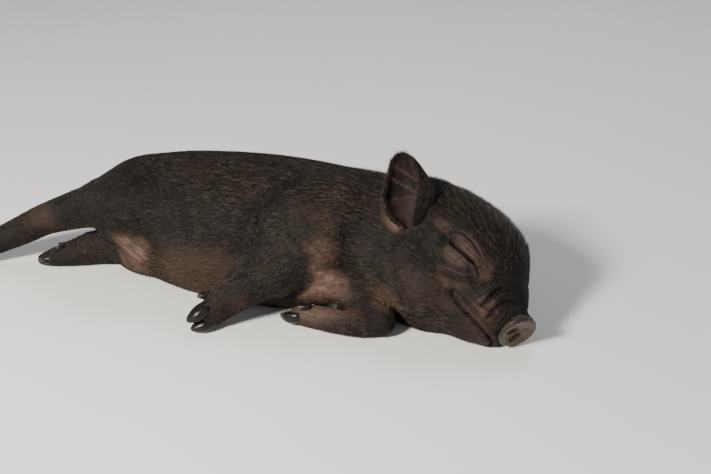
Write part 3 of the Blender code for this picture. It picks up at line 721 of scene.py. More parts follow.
# %% Hollows and creases of the body
BODY_FORMS = [  # curve in the trunk's frame, height, half width, whether its ends fade out
    ([(52, 52, 32), (44.6, 56.9, 20), (36, 59.5, 9), (26, 60.4, -5), (21, 59, -16),
      (19.5, 54, -31), (19, 49, -41), (17, 42, -50), (14, 34, -60)], -4.4, 8.5, True),
    ([(60, 56, 12), (48, 61, -2), (40, 62, -16), (38, 58, -30), (38, 52, -42)], 2.4, 9.0, True),
    ([(-62, 56, 10), (-57, 58.5, -4), (-50, 56.8, -19.5), (-43.6, 51.4, -35.6),
      (-34, 44.4, -48)], -3.6, 10.0, True),
    ([(53, 57.2, -29.8), (61, 56.8, -35.1), (67.7, 54.6, -40.6), (73, 52, -45)], -1.3, 2.6, True),
    ([(70, 62, -20), (85, 59, -31), (96, 50.7, -38.5), (104, 37, -44)], -0.5, 2.0, True),
    ([(77, 63.3, -19.5), (90, 58.8, -27.5), (100, 51, -34.2), (106, 41.4, -38)], -0.5, 2.0, True),
    ([(71, 60.5, -31), (82.7, 56, -38), (91, 50.5, -43)], -0.5, 2.0, True),
    ([(82, 60, -12), (95, 56, -20), (104, 50, -28)], -0.5, 2.0, True),
    ([(109, 53.8, -8), (107.2, 50.8, -25), (105.9, 42.5, -36.2), (109.3, 30.3, -44.6),
      (117, 17.7, -52)], -3.0, 7.5, True),
    ([(60, 33, -67), (68.4, 40.6, -57), (75, 47.3, -50), (82, 51, -44)], -1.6, 3.8, True),
    ([(-136, 42, -34), (-114, 56.7, -33), (-100, 60, -33.6), (-88, 60, -34)], -1.9, 3.4, True),
    ([(-140, 34.5, -36), (-117, 51, -40), (-102, 56, -41), (-89, 56, -42.5)], 1.3, 3.2, True),
    ([(-92, 58, -39), (-84, 52, -43), (-76, 41, -50), (-68, 32, -57), (-60, 26, -62),
      (-48, 21, -66)], -2.4, 3.8, True),
    ([(-80, 57, -33), (-72, 51, -39), (-64, 42, -47), (-56, 34, -55), (-44, 28, -61)],
     1.6, 5.0, True),
    ([(-110, 35.7, -49), (-101, 23.6, -52.2), (-90, 18, -56.6), (-77, 9.8, -62)], -1.3, 1.5, True),
    ([(-94, 43, -49), (-88, 34, -52.5), (-79, 27, -55.5)], -0.9, 1.6, True),
    ([(-78, 58, 8), (-68, 60, 0), (-58, 60, -2)], 1.2, 8.0, True),
]
print("forms of the body:", len(BODY_FORMS))

# %% Height of the forms
def form_height(local, forms):
    """Sum of the forms at the points: height times a bell curve of the distance."""
    total = np.zeros(len(local))
    for line, height, half, fades in forms:
        line = np.asarray(line, float)
        close = ((local > line.min(0) - 4 * half - 4) & (local < line.max(0) + 4 * half + 4)).all(1)
        if close.any():
            gap, part = near_line(local[close], line)
            ends = np.clip(np.minimum(part, 1 - part) * 6 + 0.15, 0, 1) if fades else 1.0
            total[close] += height * ends * np.exp(-(gap / half) ** 2)
    return total


def crease_depth(local, forms):
    """Up to 1 in a narrow groove, by its depth in mm, and 0 two half widths away."""
    grooves = [(line, min(-height / 1.6, 1), 1.1 * half + 0.3, fades)
               for line, height, half, fades in forms if height < -0.85 and half < 3.5]
    return np.clip(form_height(local, grooves), 0, 1)


def face_height(points):
    """Forms of both sides of the face, and the swell of the shut eyes."""
    local = head_frame.into(points)
    total = np.zeros(len(points))
    for sign in (1, -1):
        side = local * (1, sign, 1)
        here = side[:, 1] > -0.01 if sign == 1 else side[:, 1] > 0.01
        total[here] += form_height(side[here], FACE_FORMS)
        gap = np.linalg.norm((side - (2, 45.5, 1)) / (1.25, 1.0, 0.9), axis=1)
        total += EYE_SWELL * np.exp(-(gap / EYE_SPREAD) ** 2)
    return total


def laid(place, forms):
    """The same forms with their curves moved on to the skin."""
    return [(on_skin(place, line), height, half, fades) for line, height, half, fades in forms]


# %% Forms pressed into the skin
HOLLOW_DEPTH = 4.0   # a hollow of the body this deep in mm gets the full painted shade
FACE_FORMS = laid(head_frame, FACE_FORMS)
BODY_FORMS = laid(body_frame, BODY_FORMS)
eye_line = on_skin(head_frame, EYE_LINE)
mouth_line = on_skin(head_frame, MOUTH_LINE)
smooth_normals = skin_normals
face_side = head_frame.into(skin_points)
face_side[:, 1] = np.abs(face_side[:, 1])
# groove depth: painted shade in narrow grooves, and shorter hair there
skin_crease = np.maximum(crease_depth(face_side, FACE_FORMS),
                         crease_depth(body_frame.into(skin_points), BODY_FORMS))
body_height = form_height(body_frame.into(skin_points), BODY_FORMS)
skin_points = skin_points + skin_normals * (face_height(skin_points) + body_height)[:, None]
# how deep each vertex lies in a hollow of the body, for the painted shade there
skin_hollow = np.clip(-body_height / HOLLOW_DEPTH, 0, 1)
skin_points[:, 2] = np.maximum(skin_points[:, 2], SKIN_LIFT)
print("head vertices:", int((head_frame.into(skin_points)[:, 0] > -60).sum()))

# %% [markdown]
# ## Putting arrays into meshes
# Every piece is a grid or a net of numbers, so one helper makes a mesh of its points and
# faces. It also keeps the numbers that the materials read: how bare the skin is there, and
# coordinates that run along the coat's lie.

# %% Mesh helpers
def in_scene(name, data):
    """New object of the scene that shows the data."""
    obj = bpy.data.objects.new(name, data)
    bpy.context.scene.collection.objects.link(obj)
    return obj


def new_piece(name, points, faces, finish, replaced=()):
    """Mesh object from points in mm and an array of triangles, with its finish and node."""
    mesh = bpy.data.meshes.new(name)
    mesh.vertices.add(len(points))
    mesh.vertices.foreach_set("co", (points * MM).astype(np.float32).ravel())
    mesh.loops.add(faces.size)
    mesh.loops.foreach_set("vertex_index", faces.astype(np.int32).ravel())
    mesh.polygons.add(len(faces))
    mesh.polygons.foreach_set("loop_start", np.arange(0, faces.size, 3, dtype=np.int32))
    mesh.update(calc_edges=True)
    mesh.polygons.foreach_set("use_smooth", np.ones(len(faces), bool))
    mesh.materials.append(finish)
    obj = in_scene(name, mesh)
    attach(obj, "root")
    if replaced:
        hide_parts(*replaced)
    return obj


def keep_numbers(obj, **numbers):
    """Store one number for each vertex under each name, for the materials to read."""
    for name, values in numbers.items():
        layer = obj.data.attributes.new(name, "FLOAT", "POINT")
        layer.data.foreach_set("value", np.asarray(values, np.float32))


def keep_map(obj, name, coordinates):
    """UV map from a coordinate pair for each vertex, or for each corner of each face."""
    mesh = obj.data
    uv = np.asarray(coordinates, np.float32)
    if len(uv) != len(mesh.loops):
        corner = np.empty(len(mesh.loops), np.int32)
        mesh.loops.foreach_get("vertex_index", corner)
        uv = uv[corner]
    mesh.uv_layers.new(name=name).data.foreach_set("uv", uv.ravel())


def closed_tube(rows, turns):
    """Triangles of a grid of rings, closed round each ring. A fan closes the first and the
    last ring: its middle is the last point but one and the last point."""
    i, j = np.meshgrid(np.arange(rows - 1), np.arange(turns), indexing="ij")
    k = (j + 1) % turns
    quads = np.stack([i * turns + j, i * turns + k, (i + 1) * turns + k, (i + 1) * turns + j], -1)
    here = np.arange(turns)
    after = (here + 1) % turns
    base = rows * turns
    first = np.stack([np.full(turns, base), after, here], 1)
    last = np.stack([np.full(turns, base + 1), base - turns + here, base - turns + after], 1)
    return np.vstack([two_triangles(quads.reshape(-1, 4)), first, last])


def outward(points, faces):
    """Turn all triangles of one closed net outwards, by the sign of the volume it holds."""
    a, b, c = points[faces[:, 0]], points[faces[:, 1]], points[faces[:, 2]]
    volume = (a * np.cross(b, c)).sum()
    return faces[:, ::-1] if volume < 0 else faces


# %% [markdown]
# ## Where a point is on the animal
# The coat lies from the nose to the tail and down the legs to the feet. Each mass knows its
# own direction, and a point takes a mix of the directions of the masses near it. The same
# masses give a map of the skin: each has its own field in the unit square, with the way
# round it across and the way along it up.

# %% Lie of the coat and map of the skin
REGIONS = [  # mass, which way the hair runs along it, corner of its field, size of the field
    (trunk, -1, (0.01, 0.01), (0.48, 0.48)), (skull, -1, (0.51, 0.01), (0.40, 0.30)),
    (muzzle, -1, (0.51, 0.33), (0.22, 0.14)), (fore_right, 1, (0.01, 0.51), (0.15, 0.30)),
    (fore_left, 1, (0.18, 0.51), (0.15, 0.16)), (shin_left, 1, (0.18, 0.69), (0.15, 0.20)),
    (hind_right, 1, (0.35, 0.51), (0.15, 0.45)), (hind_left, 1, (0.52, 0.51), (0.17, 0.10)),
    (foot_left, 1, (0.52, 0.63), (0.15, 0.25)), (tail_core, 1, (0.70, 0.51), (0.06, 0.40))]
EAR_FIELDS = [((0.78, 0.51), (0.20, 0.20)), ((0.78, 0.73), (0.20, 0.20))]


class Whereabouts:
    """For each point: the lie of its hair, the mass it belongs to, and its turn and part on
    every mass. place() gives the coordinates of corners that all count as one mass's."""

    def __init__(self, points):
        charts = [mass.chart(points) for mass, _, _, _ in REGIONS]
        gaps = np.array([c[0] for c in charts])
        self.spot = np.array([np.stack([c[2], c[1]], 1) for c in charts])
        self.nearest = gaps.argmin(0)
        weight = np.exp(-np.clip(gaps - gaps.min(0), 0, 80) / 9)
        lies = np.array([r[1] * c[3] for r, c in zip(REGIONS, charts)])
        self.lie = unit((weight[:, :, None] * lies).sum(0))

    def place(self, faces):
        """Mass of each face, and the turn and part of its corners, closed over the seam."""
        region = self.nearest[faces[:, 0]]
        spot = self.spot[region[:, None], faces].copy()
        turn = spot[:, :, 0]
        first = turn[:, :1]
        turn += (first - turn > 0.5) * 1.0 - (turn - first > 0.5) * 1.0
        return region, spot


REGION_CORNER = np.array([r[2] for r in REGIONS])
REGION_SIZE = np.array([r[3] for r in REGIONS])
REGION_METRES = MM * np.array([
    (2 * pi * mass.radii.mean(), np.linalg.norm(np.diff(mass.centre, axis=0), axis=1).sum())
    for mass, _, _, _ in REGIONS])

# %% [markdown]
# ## Bare skin
# The hair is thinnest where skin rubs skin: the belly, the armpits and chest, the inside of
# the thighs, the lids and the inside of the ears. There a brownish pink shows through. One
# set of soft patches says where, and both the skin and the coat read it, so that the two
# always agree. Two more numbers say where the skin is finely wrinkled, and where painted
# shade darkens the coat: on the back, on the hip and in the hollows.

# %% Patches of bare skin
BARE_PATCHES = [  # frame, middle, radii, strength
    (body_frame, (80, 26, -60), (36, 26, 20), 1.0),
    (body_frame, (84, 50, -40), (26, 16, 18), 0.50),
    (body_frame, (80, 62, -20), (24, 14, 16), 0.30),
    (floor_frame, (-93, -56, 44), (20, 16, 22), 0.85),
    (floor_frame, (-97, -42, 24), (24, 18, 18), 0.6),
    (body_frame, (-20, 22, -70), (66, 44, 26), 0.40),
    (body_frame, (146, 14, -58), (18, 26, 12), 0.45),
    (floor_frame, (95, -66, 14), (44, 14, 14), 0.62),
    (floor_frame, (-196, -34, 50), (22, 16, 14), 0.35),
    (floor_frame, (24, -88, 24), (12, 12, 10), 0.30),
    (head_frame, (5, 45, 8), (22, 11, 10), 0.45),
    (head_frame, (24, 40, 2), (16, 9, 12), 0.40),
    (head_frame, (0, 45, -8), (18, 10, 9), 0.37),
    (head_frame, (-26, 47, 7), (13, 8, 7), 0.36),
    (head_frame, (2, -45, 6.5), (19, 9, 5.5), 0.62),
    (head_frame, (3, -45, -5.5), (15, 9, 4.5), 0.50),
    (head_frame, (40, 0, -24), (24, 36, 18), 0.46),
    (head_frame, (-58, 51, -19), (15, 7, 8), 0.62),
    (head_frame, (12, 42, -22), (18, 10, 15), 0.36),
    (head_frame, (-2, 38, -44), (28, 16, 16), 0.26),
    (head_frame, (44, 26, -18), (14, 10, 12), 0.46),
    (head_frame, (24, 34, -40), (18, 12, 12), 0.30),
]


def bareness(points):
    """0 in full coat to 1 on bare skin: the strongest of the patches. A patch of the trunk
    stops at the legs that lie over it."""
    bare = np.zeros(len(points))
    on_leg = ramp(-fore_right.distance(points), -7, -2)
    for place, middle, radii, strength in BARE_PATCHES:
        away = np.linalg.norm((place.into(points) - middle) / radii, axis=1)
        patch = strength * ramp(1.35 - away, 0, 0.85)
        if place is body_frame:
            patch = patch * (1 - on_leg)
        bare = np.maximum(bare, patch)
    for ear in ears:
        low = ramp(-head_frame.into(points)[:, 2], 5, 17)
        bare = np.maximum(bare, (0.30 + 0.42 * low) * ear.inside(points))
    return bare


# %% Wrinkles and painted shade
def wrinkling(points):
    """1 on the muzzle and round the eyes, where the skin is creased finely; 0 elsewhere."""
    head = head_frame.into(points)
    muzzle_part = ramp(head[:, 0], 22, 44) * ramp(points[:, 0], 150, 190)
    side = np.abs(head[:, 1])
    eye = np.linalg.norm((np.stack([head[:, 0], side, head[:, 2]], 1) - (3, 44, -1))
                         / (1.5, 1, 1), axis=1)
    return np.maximum(muzzle_part, 0.8 * ramp(19 - eye, 0, 8))


def painted_shade_amount(points, hollow):
    """Painted shade on the coat: on the back and hip, away from the light, and in the body's
    hollows.
    """
    body = body_frame.into(points)
    trunk_part = ramp(150 - body[:, 0], 0, 40)
    back_shade = 0.75 * ramp(body[:, 2], 5, 45) * trunk_part
    hip_shade = 0.8 * ramp(-body[:, 0], 40, 115) * ramp(points[:, 2], 40, 66)
    return np.max([back_shade, hip_shade, 0.9 * hollow], axis=0)


# %% [markdown]
# ## Shader maths
# A finish mixes patterns with plain arithmetic. A small class wraps a socket, so that an
# expression in Python adds the Math nodes that it needs.

# %% Sockets that calculate
class Number:
    """Output of a node, which adds, subtracts and multiplies through Math nodes."""

    def __init__(self, finish, socket):
        self.finish = finish
        self.socket = socket

    def calculate(self, operation, *values):
        return self.finish.node("ShaderNodeMath", {"operation": operation},
                                dict(enumerate(values)))

    def __add__(self, other):
        return self.calculate("ADD", self, other)

    def __sub__(self, other):
        return self.calculate("SUBTRACT", self, other)

    def __rsub__(self, other):
        return self.calculate("SUBTRACT", other, self)

    def __mul__(self, other):
        return self.calculate("MULTIPLY", self, other)

    __radd__ = __add__
    __rmul__ = __mul__

    def step(self, low, high):
        """0 below low, 1 above high, smooth between."""
        return self.finish.node("ShaderNodeMapRange", {"interpolation_type": "SMOOTHSTEP"},
                                {"Value": self, "From Min": low, "From Max": high})


# %% Finishes
class Finish:
    """A material while it is made. node() adds any node and gives one of its outputs."""

    def __init__(self, name, specular):
        """The specular level is one number for the whole finish."""
        self.material = bpy.data.materials.new(name)
        self.material.use_nodes = True
        self.tree = self.material.node_tree
        self.shader = self.tree.nodes["Principled BSDF"]
        self.shader.inputs["Specular IOR Level"].default_value = specular
        self.shader.inputs["Metallic"].default_value = 0.0

    def node(self, kind, settings=None, inputs=None, output=0):
        node = self.tree.nodes.new(kind)
        for key, value in (settings or {}).items():
            setattr(node, key, value)
        for key, value in (inputs or {}).items():
            self.feed(node.inputs[key], value)
        return Number(self, node.outputs[output])

    def feed(self, socket, value):
        """Link a Number to the socket, or set a constant on it."""
        if isinstance(value, Number):
            self.tree.links.new(value.socket, socket)
        elif np.ndim(value) == 1 and len(value) == 3 and socket.type == "RGBA":
            socket.default_value = (*value, 1)
        else:
            socket.default_value = value

    def object_place(self):
        return self.node("ShaderNodeTexCoord", output="Object")

    def number(self, name):
        return self.node("ShaderNodeAttribute", {"attribute_name": name}, output="Fac")

    def map_place(self, name, stretch):
        """Coordinates of a UV map, stretched along each of its ways."""
        place = self.node("ShaderNodeUVMap", {"uv_map": name})
        return self.node("ShaderNodeMapping", {}, {"Vector": place, "Scale": stretch})

    def noise(self, place, scale, detail, roughness):
        return self.node("ShaderNodeTexNoise", {}, {"Vector": place, "Scale": scale,
                                                   "Detail": detail, "Roughness": roughness})

    def cells(self, place, scale):
        return self.node("ShaderNodeTexVoronoi", {}, {"Vector": place, "Scale": scale})

    def mix(self, mask, low, high):
        """Colour that goes from low to high with the mask."""
        return self.node("ShaderNodeMix", {"data_type": "RGBA"}, {0: mask, 6: low, 7: high}, 2)

    def bump(self, height, distance, strength, under=None):
        """Normal bent by a height in parts of a distance in metres, over another bump."""
        inputs = {"Height": height, "Distance": distance, "Strength": strength}
        if under is not None:
            inputs["Normal"] = under
        return self.node("ShaderNodeBump", {}, inputs)

    def wear(self, **values):
        """Feed the shader's sockets, named with _ for a space."""
        for key, value in values.items():
            self.feed(self.shader.inputs[key.replace("_", " ")], value)
        return self.material


# %% [markdown]
# ## Finish of the skin
# Black pig skin is a dark grey-brown with short hair lying flat on it. The flat hair is a
# bump stretched along the lie, in two sizes, and a streak of lighter hairs in the colour.
# Fine cells stand for the skin's own grain, and show where it is bare. Black skin reflects
# more light than it scatters, so a weak specular keeps it black.

# %% Colours shared by skin and coat
COAT_BLACK = (0.0090, 0.0067, 0.0052)
COAT_GREY = (0.024, 0.0198, 0.0170)
COAT_BROWN = (0.042, 0.025, 0.016)
COAT_DEEP = (0.0030, 0.0024, 0.0021)
PINK_SKIN = (0.230, 0.144, 0.113)
# painted shade at the bottom of narrow grooves
CREASE_SHADE = (0.0050, 0.0035, 0.0028)


def coat_colour(finish, place):
    """Black to grey in soft patches, with a brown tinge, by object coordinates; then painted shade.
    """
    patches = finish.noise(place, 14, 3, 0.6).step(0.38, 0.68)
    tinge = finish.noise(place, 31, 2, 0.5).step(0.46, 0.76)
    tufts = finish.noise(place, 430, 2, 0.6).step(0.40, 0.64)
    base = finish.mix(patches * 0.3, COAT_BLACK, COAT_GREY)
    base = finish.mix(tinge * 0.26, base, COAT_BROWN)
    base = finish.mix(tufts * 0.62, base, COAT_DEEP)
    # painted shade from the dark number: back, hip, hollows and ear insides
    return finish.mix(finish.number("dark") * 0.85, base, COAT_DEEP)


# %% Skin finish
def skin_finish():
    """Coat colour where hair covers the skin, mottled pink where it is bare, painted shade in
    creases.
    """
    finish = Finish("skin_black_pig", 0.13)
    place = finish.object_place()
    bare = finish.number("bare")
    mottle = finish.noise(place, 95, 3, 0.6)
    shows = (bare + (mottle - 0.5) * 0.8 * bare).step(0.12, 1.0)
    strands = finish.noise(finish.map_place("lie", (2400, 230, 1)), 1, 3, 0.6)
    fine = finish.noise(finish.map_place("lie", (5200, 420, 1)), 1, 2, 0.5)
    streak = strands.step(0.54, 0.74) * (1 - bare * 0.6)
    coat = finish.mix(0.4, coat_colour(finish, place), COAT_DEEP)
    coat = finish.mix(streak * 0.2, coat, (0.070, 0.054, 0.043))
    pink = finish.mix(mottle.step(0.35, 0.7), PINK_SKIN, (0.090, 0.054, 0.041))
    grain = finish.cells(place, 900)
    wrinkled = finish.number("wrinkled")
    folds = finish.noise(finish.map_place("lie", (330, 760, 1)), 1, 3, 0.6)
    crossing = finish.cells(finish.map_place("lie", (420, 900, 1)), 1)
    lie_bump = finish.bump(strands * 0.7 + fine * 0.5, 0.0006, 0.8)
    lie_bump = finish.bump((folds * 1.4 + crossing * 0.5) * wrinkled, 0.0016, 0.9, lie_bump)
    flesh = finish.mix(shows * 0.80, coat, pink)
    # painted shade: the crease number darkens narrow grooves
    return finish.wear(Base_Color=finish.mix(finish.number("crease") * 0.95, flesh, CREASE_SHADE),
                       Roughness=0.46 - bare * 0.1 + strands * 0.18,
                       Normal=finish.bump(grain * 0.7 + mottle, 0.0005, 0.6, lie_bump))


skin_material = skin_finish()

# %% Skin piece
FLESH = ["torso", "neck", "head", "tail", "foreleg_right", "forefoot_right", "foreleg_left",
         "forefoot_left", "hindleg_right", "hindfoot_right", "hindleg_left", "hindfoot_left"]
skin = new_piece("skin", skin_points, skin_faces, skin_material, FLESH)
skin_where = Whereabouts(skin_points)
skin_painted_shade = painted_shade_amount(skin_points, skin_hollow)
skin_region, skin_spot = skin_where.place(skin_faces)
skin_bare = bareness(skin_points)
# the dark number is painted shade, and the crease number painted shade in narrow grooves
keep_numbers(skin, bare=skin_bare, wrinkled=wrinkling(skin_points), crease=skin_crease,
             dark=skin_painted_shade)
keep_map(skin, "lie", (skin_spot * REGION_METRES[skin_region][:, None]).reshape(-1, 2))
print("skin piece:", len(skin.data.polygons), "triangles")

# %% [markdown]
# ## The leaf of each ear
# The thin part of the ear is a sheet with a round rim, bent to an open cone. Each ring of
# the grid runs over the inside, round one rim, back over the outside and round the other
# rim. Two low ridges cross the inside, as they do in a real ear.

# %% Shape of the ear leaves
LEAF_ROWS = 1 - 1.3 * np.linspace(1, 0, 56) ** 1.15   # parts of the length, closer at the foot
LEAF_COLUMNS = np.linspace(0, 1, 37)   # from the left rim to the right one
RIM_TURNS = np.radians((40, 90, 140))
RIDGES = ((0.43, 0.013), (0.67, 0.015))   # part of the length, slant
RIDGE_HEIGHT = 1.5
VEIN_HEIGHT = 0.35


def leaf_rings():
    """Rings of inside, rim, outside, rim. A point is the ellipse point plus half the
    thickness along the ellipse's normal, and a rim is a half circle of that radius."""
    rows, columns = LEAF_ROWS, LEAF_COLUMNS
    wide, deep, thick, left, right = (np.interp(rows, EAR[:, 0], EAR[:, k])
                                      for k in range(1, 6))
    wide, deep, left, right = (np.convolve(np.pad(x, 2, "edge"), np.ones(5) / 5, "valid")
                               for x in (wide, deep, left, right))
    taper = np.sqrt(np.clip((1.004 - rows) / 0.10, 0.04, 1))[:, None]
    turn = np.radians(left[:, None] + (right - left)[:, None] * columns)
    edge = np.abs(2 * columns - 1) ** 3
    wave = 1 + 0.022 * np.sin(rows * 23 + 1)[:, None] * edge
    a = wide[:, None] * (0.45 + 0.55 * taper) * wave
    b = np.repeat(deep[:, None], len(columns), 1)
    half = thick[:, None] * (0.5 - 0.2 * edge)
    half = half * (0.45 + 0.55 * ramp(rows, -0.02, 0.22))[:, None]
    v = a * np.sin(turn)
    normal = unit(np.stack([np.sin(turn) / a, -np.cos(turn) / b], -1))
    ridge = sum(np.exp(-((rows[:, None] - (start - slant * v)) / 0.035) ** 2)
                for start, slant in RIDGES) * ramp(np.cos(turn), -0.1, 0.5)
    vein = (VEIN_HEIGHT * np.sin(turn * 9) * ramp(rows, 0.1, 0.4)[:, None]
            * ramp(np.cos(turn), 0.2, 0.9))
    flat = np.stack([v, -b * np.cos(turn)], -1)
    inner = flat - normal * (half + RIDGE_HEIGHT * ridge + vein)[:, :, None]
    outer = flat + normal * half[:, :, None]

    def rim(column, way):
        """Half circle at one rim, from the inside to the outside."""
        n = normal[:, column]
        t = np.stack([-n[:, 1], n[:, 0]], -1) * way
        return [flat[:, column] + half[:, column, None] * (-cos(angle) * n + sin(angle) * t)
                for angle in RIM_TURNS]

    ring = np.concatenate([inner, np.stack(rim(-1, 1), 1), outer[:, ::-1],
                           np.stack(rim(0, -1)[::-1], 1)], 1)
    return ring, ridge, deep


# %% Ear leaf pieces
def ear_leaf(name, ear, node):
    """Piece of one leaf, with where its vertices are on the leaf and how bare they are."""
    ring, ridge, deep = leaf_rings()
    rows, turns = ring.shape[:2]
    local = (ear.middle(LEAF_ROWS, deep)[:, None, :] + ring[:, :, :1] * ear.across
             + ring[:, :, 1:] * ear.face)
    points = head_frame.out((local * ear.flip).reshape(-1, 3))
    points = np.vstack([points, points[:turns].mean(0), points[-turns:].mean(0)])
    triangles = outward(points, closed_tube(rows, turns))
    obj = new_piece(name, points, triangles, skin_material, [node])
    count = len(LEAF_COLUMNS)
    across = np.concatenate([LEAF_COLUMNS, [1.0] * 3, LEAF_COLUMNS[::-1], [0.0] * 3])
    inside = np.concatenate([np.ones(count), (0.7, 0.4, 0.1), np.zeros(count), (0.1, 0.4, 0.7)])
    across = np.append(np.tile(across, rows), (0, 0))
    inside = np.append(np.tile(inside, rows), (0, 0))
    part = np.append(np.repeat(LEAF_ROWS, turns), (-0.3, 1))
    on_ridge = np.zeros((rows, turns))
    on_ridge[:, :count] = ridge
    bare = inside * (0.17 + 0.12 * ramp(0.12 - part, 0, 0.2)) + 0.04
    bare = bare + 0.22 * np.append(on_ridge.ravel(), (0, 0))
    none = np.zeros(len(points))
    # dark here is painted shade inside the ear's hollow
    keep_numbers(obj, bare=bare, wrinkled=none, crease=none, dark=0.35 * inside)
    keep_map(obj, "lie", np.stack([across * 0.07, part * ear.length * MM], 1))
    return points, triangles, part, across, inside, bare


ear_grids = [ear_leaf("ear_leaf_" + side_name, ear, "ear_" + side_name)
             for ear, side_name in zip(ears, ("right", "left"))]
print("ear leaf triangles:", len(ear_grids[0][1]))

# %% [markdown]
# ## Eyes
# The eyes are shut but for a wet line. A small dark glossy body lies under each slit, so
# that what shows between the lids is the eye itself, and it catches a glint.

# %% Eyes
def ball_grid(centre, radii, axes, place, rows=18, turns=32, shape=None):
    """Points and triangles of a ball, shaped if a shape is given, then stretched: rings by
    latitude round its first axis, with a pole at each end."""
    rise = np.linspace(-pi / 2, pi / 2, rows)[1:-1]
    turn = np.linspace(0, 2 * pi, turns, endpoint=False)
    x = np.repeat(np.sin(rise)[:, None], turns, 1)
    y = np.cos(rise)[:, None] * np.cos(turn)
    z = np.cos(rise)[:, None] * np.sin(turn)
    local = np.stack([x, y, z], -1).reshape(-1, 3)
    local = np.vstack([local, [(-1, 0, 0), (1, 0, 0)]])
    if shape is not None:
        local = shape(local)
    points = place.out((local * radii) @ np.asarray(axes) + centre)
    return points, outward(points, closed_tube(rows - 2, turns))


def eye_finish():
    """Dark brown that is nearly black, under a wet coat."""
    finish = Finish("eye_dark_wet", 0.7)
    place = finish.object_place()
    depth = finish.noise(place, 260, 2, 0.5)
    return finish.wear(Base_Color=finish.mix(depth, (0.006, 0.004, 0.003), (0.022, 0.012, 0.008)),
                       Roughness=0.10 + depth * 0.12, Coat_Weight=0.3)


EYE_MIDDLE = (2.4, 45.3, -0.5)
EYE_RADII = (13.0, 2.2, 3.4)
EYE_SINK = 5.9
eye_material = eye_finish()
for sign, side_name in ((1, "right"), (-1, "left")):
    flip = np.array((1, sign, 1))
    slit_along = unit(np.array((29, -5, -0.5)) * flip)
    out = square_to(np.array((0.17, 0.98, 0.08)) * flip, slit_along)
    axes = np.array([slit_along, np.cross(slit_along, out), out])
    middle = EYE_MIDDLE * flip - EYE_SINK * out
    points, faces = ball_grid(middle, EYE_RADII, axes, head_frame)
    new_piece("eye_" + side_name + "_wet", points, faces, eye_material,
              ["eye_" + side_name])
print("length of each eye under the lids, mm:", 2 * EYE_RADII[0])

# %% [markdown]
# ## Snout
# The snout's disc is bare, moist and a little tough, with a rolled rim, two nostrils and a
# shallow hollow between them. It is a round grid: a profile turned about the disc's axis,
# wider than it is tall, with the nostrils pressed into it.

# %% Snout disc
SNOUT_PROFILE = np.array([  # distance from the axis, height over the cut end of the muzzle
    (0.0, 3.6), (4.0, 3.6), (8.5, 3.7), (12.0, 4.1), (14.6, 4.8), (16.6, 5.1), (18.0, 4.5),
    (18.7, 3.2), (18.7, 1.8), (18.0, 0.6), (17.2, -0.6), (16.6, -2.2), (15.0, -4.0)])
NOSTRIL = np.array((5.8, -3.4))
NOSTRIL_RADII = np.array((3.3, 4.5))
NOSTRIL_DEPTH = 6.2
DISC_TURNS = 132


def snout_disc():
    """Profile by a smooth curve, turned. Height falls by a bell curve of the squared,
    scaled distance from each nostril's middle."""
    profile = smooth_rows(SNOUT_PROFILE, 5)[1:]
    turn = np.linspace(0, 2 * pi, DISC_TURNS, endpoint=False)
    outline = 1 + 0.035 * np.cos(2 * turn) - 0.02 * np.exp(-((turn - 1.5 * pi) / 0.25) ** 2)
    radius = profile[:, :1] * outline * (1 + 0.006 * np.sin(turn * 17 + 2))
    x = 1.03 * radius * np.cos(turn)
    y = 0.95 * radius * np.sin(turn)
    height = np.repeat(profile[:, 1:], DISC_TURNS, 1)
    front = ramp(height, 1.5, 3.2)
    deep = np.zeros_like(x)
    for side in (1, -1):
        lean = (x - side * NOSTRIL[0]) + side * 0.25 * (y - NOSTRIL[1])
        gap = (lean / NOSTRIL_RADII[0]) ** 2 + ((y - NOSTRIL[1]) / NOSTRIL_RADII[1]) ** 2
        deep = deep + np.exp(-gap ** 2)
        height = height + 0.5 * front * np.exp(-((np.sqrt(gap) - 1.5) / 0.35) ** 2)
    height = height - NOSTRIL_DEPTH * deep * front
    height = height - 0.5 * front * np.exp(-(x / 1.6) ** 2) * ramp(-np.abs(y - 1), -13, -6)
    height = height + 0.10 * front * np.sin(x * 2.1 + 3 * np.sin(y * 0.9)) * np.sin(y * 2.4)
    local = (DISC_MIDDLE + x[:, :, None] * (0, 1, 0) + y[:, :, None] * DISC_CROWN
             + height[:, :, None] * DISC_FRONT)
    points = head_frame.out(local.reshape(-1, 3))
    points = np.vstack([points, head_frame.out(DISC_MIDDLE + 3.1 * DISC_FRONT),
                        head_frame.out(DISC_MIDDLE - 4.5 * DISC_FRONT)])
    triangles = outward(points, closed_tube(len(profile), DISC_TURNS))
    radial = np.append(np.repeat(profile[:, 0], DISC_TURNS), (0, 15))
    return points, triangles, np.append(deep.ravel(), (0, 0)), radial


def snout_finish():
    """Mottled brown with a dark rim, reddish in the nostrils, with fine pores."""
    finish = Finish("snout_moist_skin", 0.32)
    place = finish.object_place()
    mottle = finish.noise(place, 150, 4, 0.65)
    pores = finish.cells(place, 1250)
    rim = finish.number("rim")
    deep = finish.number("deep")
    ground = finish.mix(mottle.step(0.35, 0.7), (0.028, 0.016, 0.007), (0.082, 0.047, 0.019))
    edged = finish.mix(rim * 0.9, ground, (0.013, 0.010, 0.007))
    colour = finish.mix(deep.step(0.25, 0.9), edged, (0.045, 0.011, 0.006))
    return finish.wear(Base_Color=colour, Roughness=0.20 + mottle * 0.2 - rim * 0.06,
                       Normal=finish.bump(pores * 0.8 + mottle * 0.6, 0.0005, 0.7))


points, faces, deep, radial = snout_disc()
snout = new_piece("snout_disc", points, faces, snout_finish(), ["snout"])
keep_numbers(snout, deep=deep, rim=ramp(radial, 13.5, 17.5))
print("snout disc:", len(faces), "triangles")

# %% [markdown]
# ## Claws
# A piglet walks on two claws of each foot, and two dewclaws sit behind them. A claw is a
# small hoof: a curved wall that runs down to a blunt point, a flat sole, and a soft edge
# where it grows out of the skin. It is a ball grid, pinched to the tip and cut flat below.

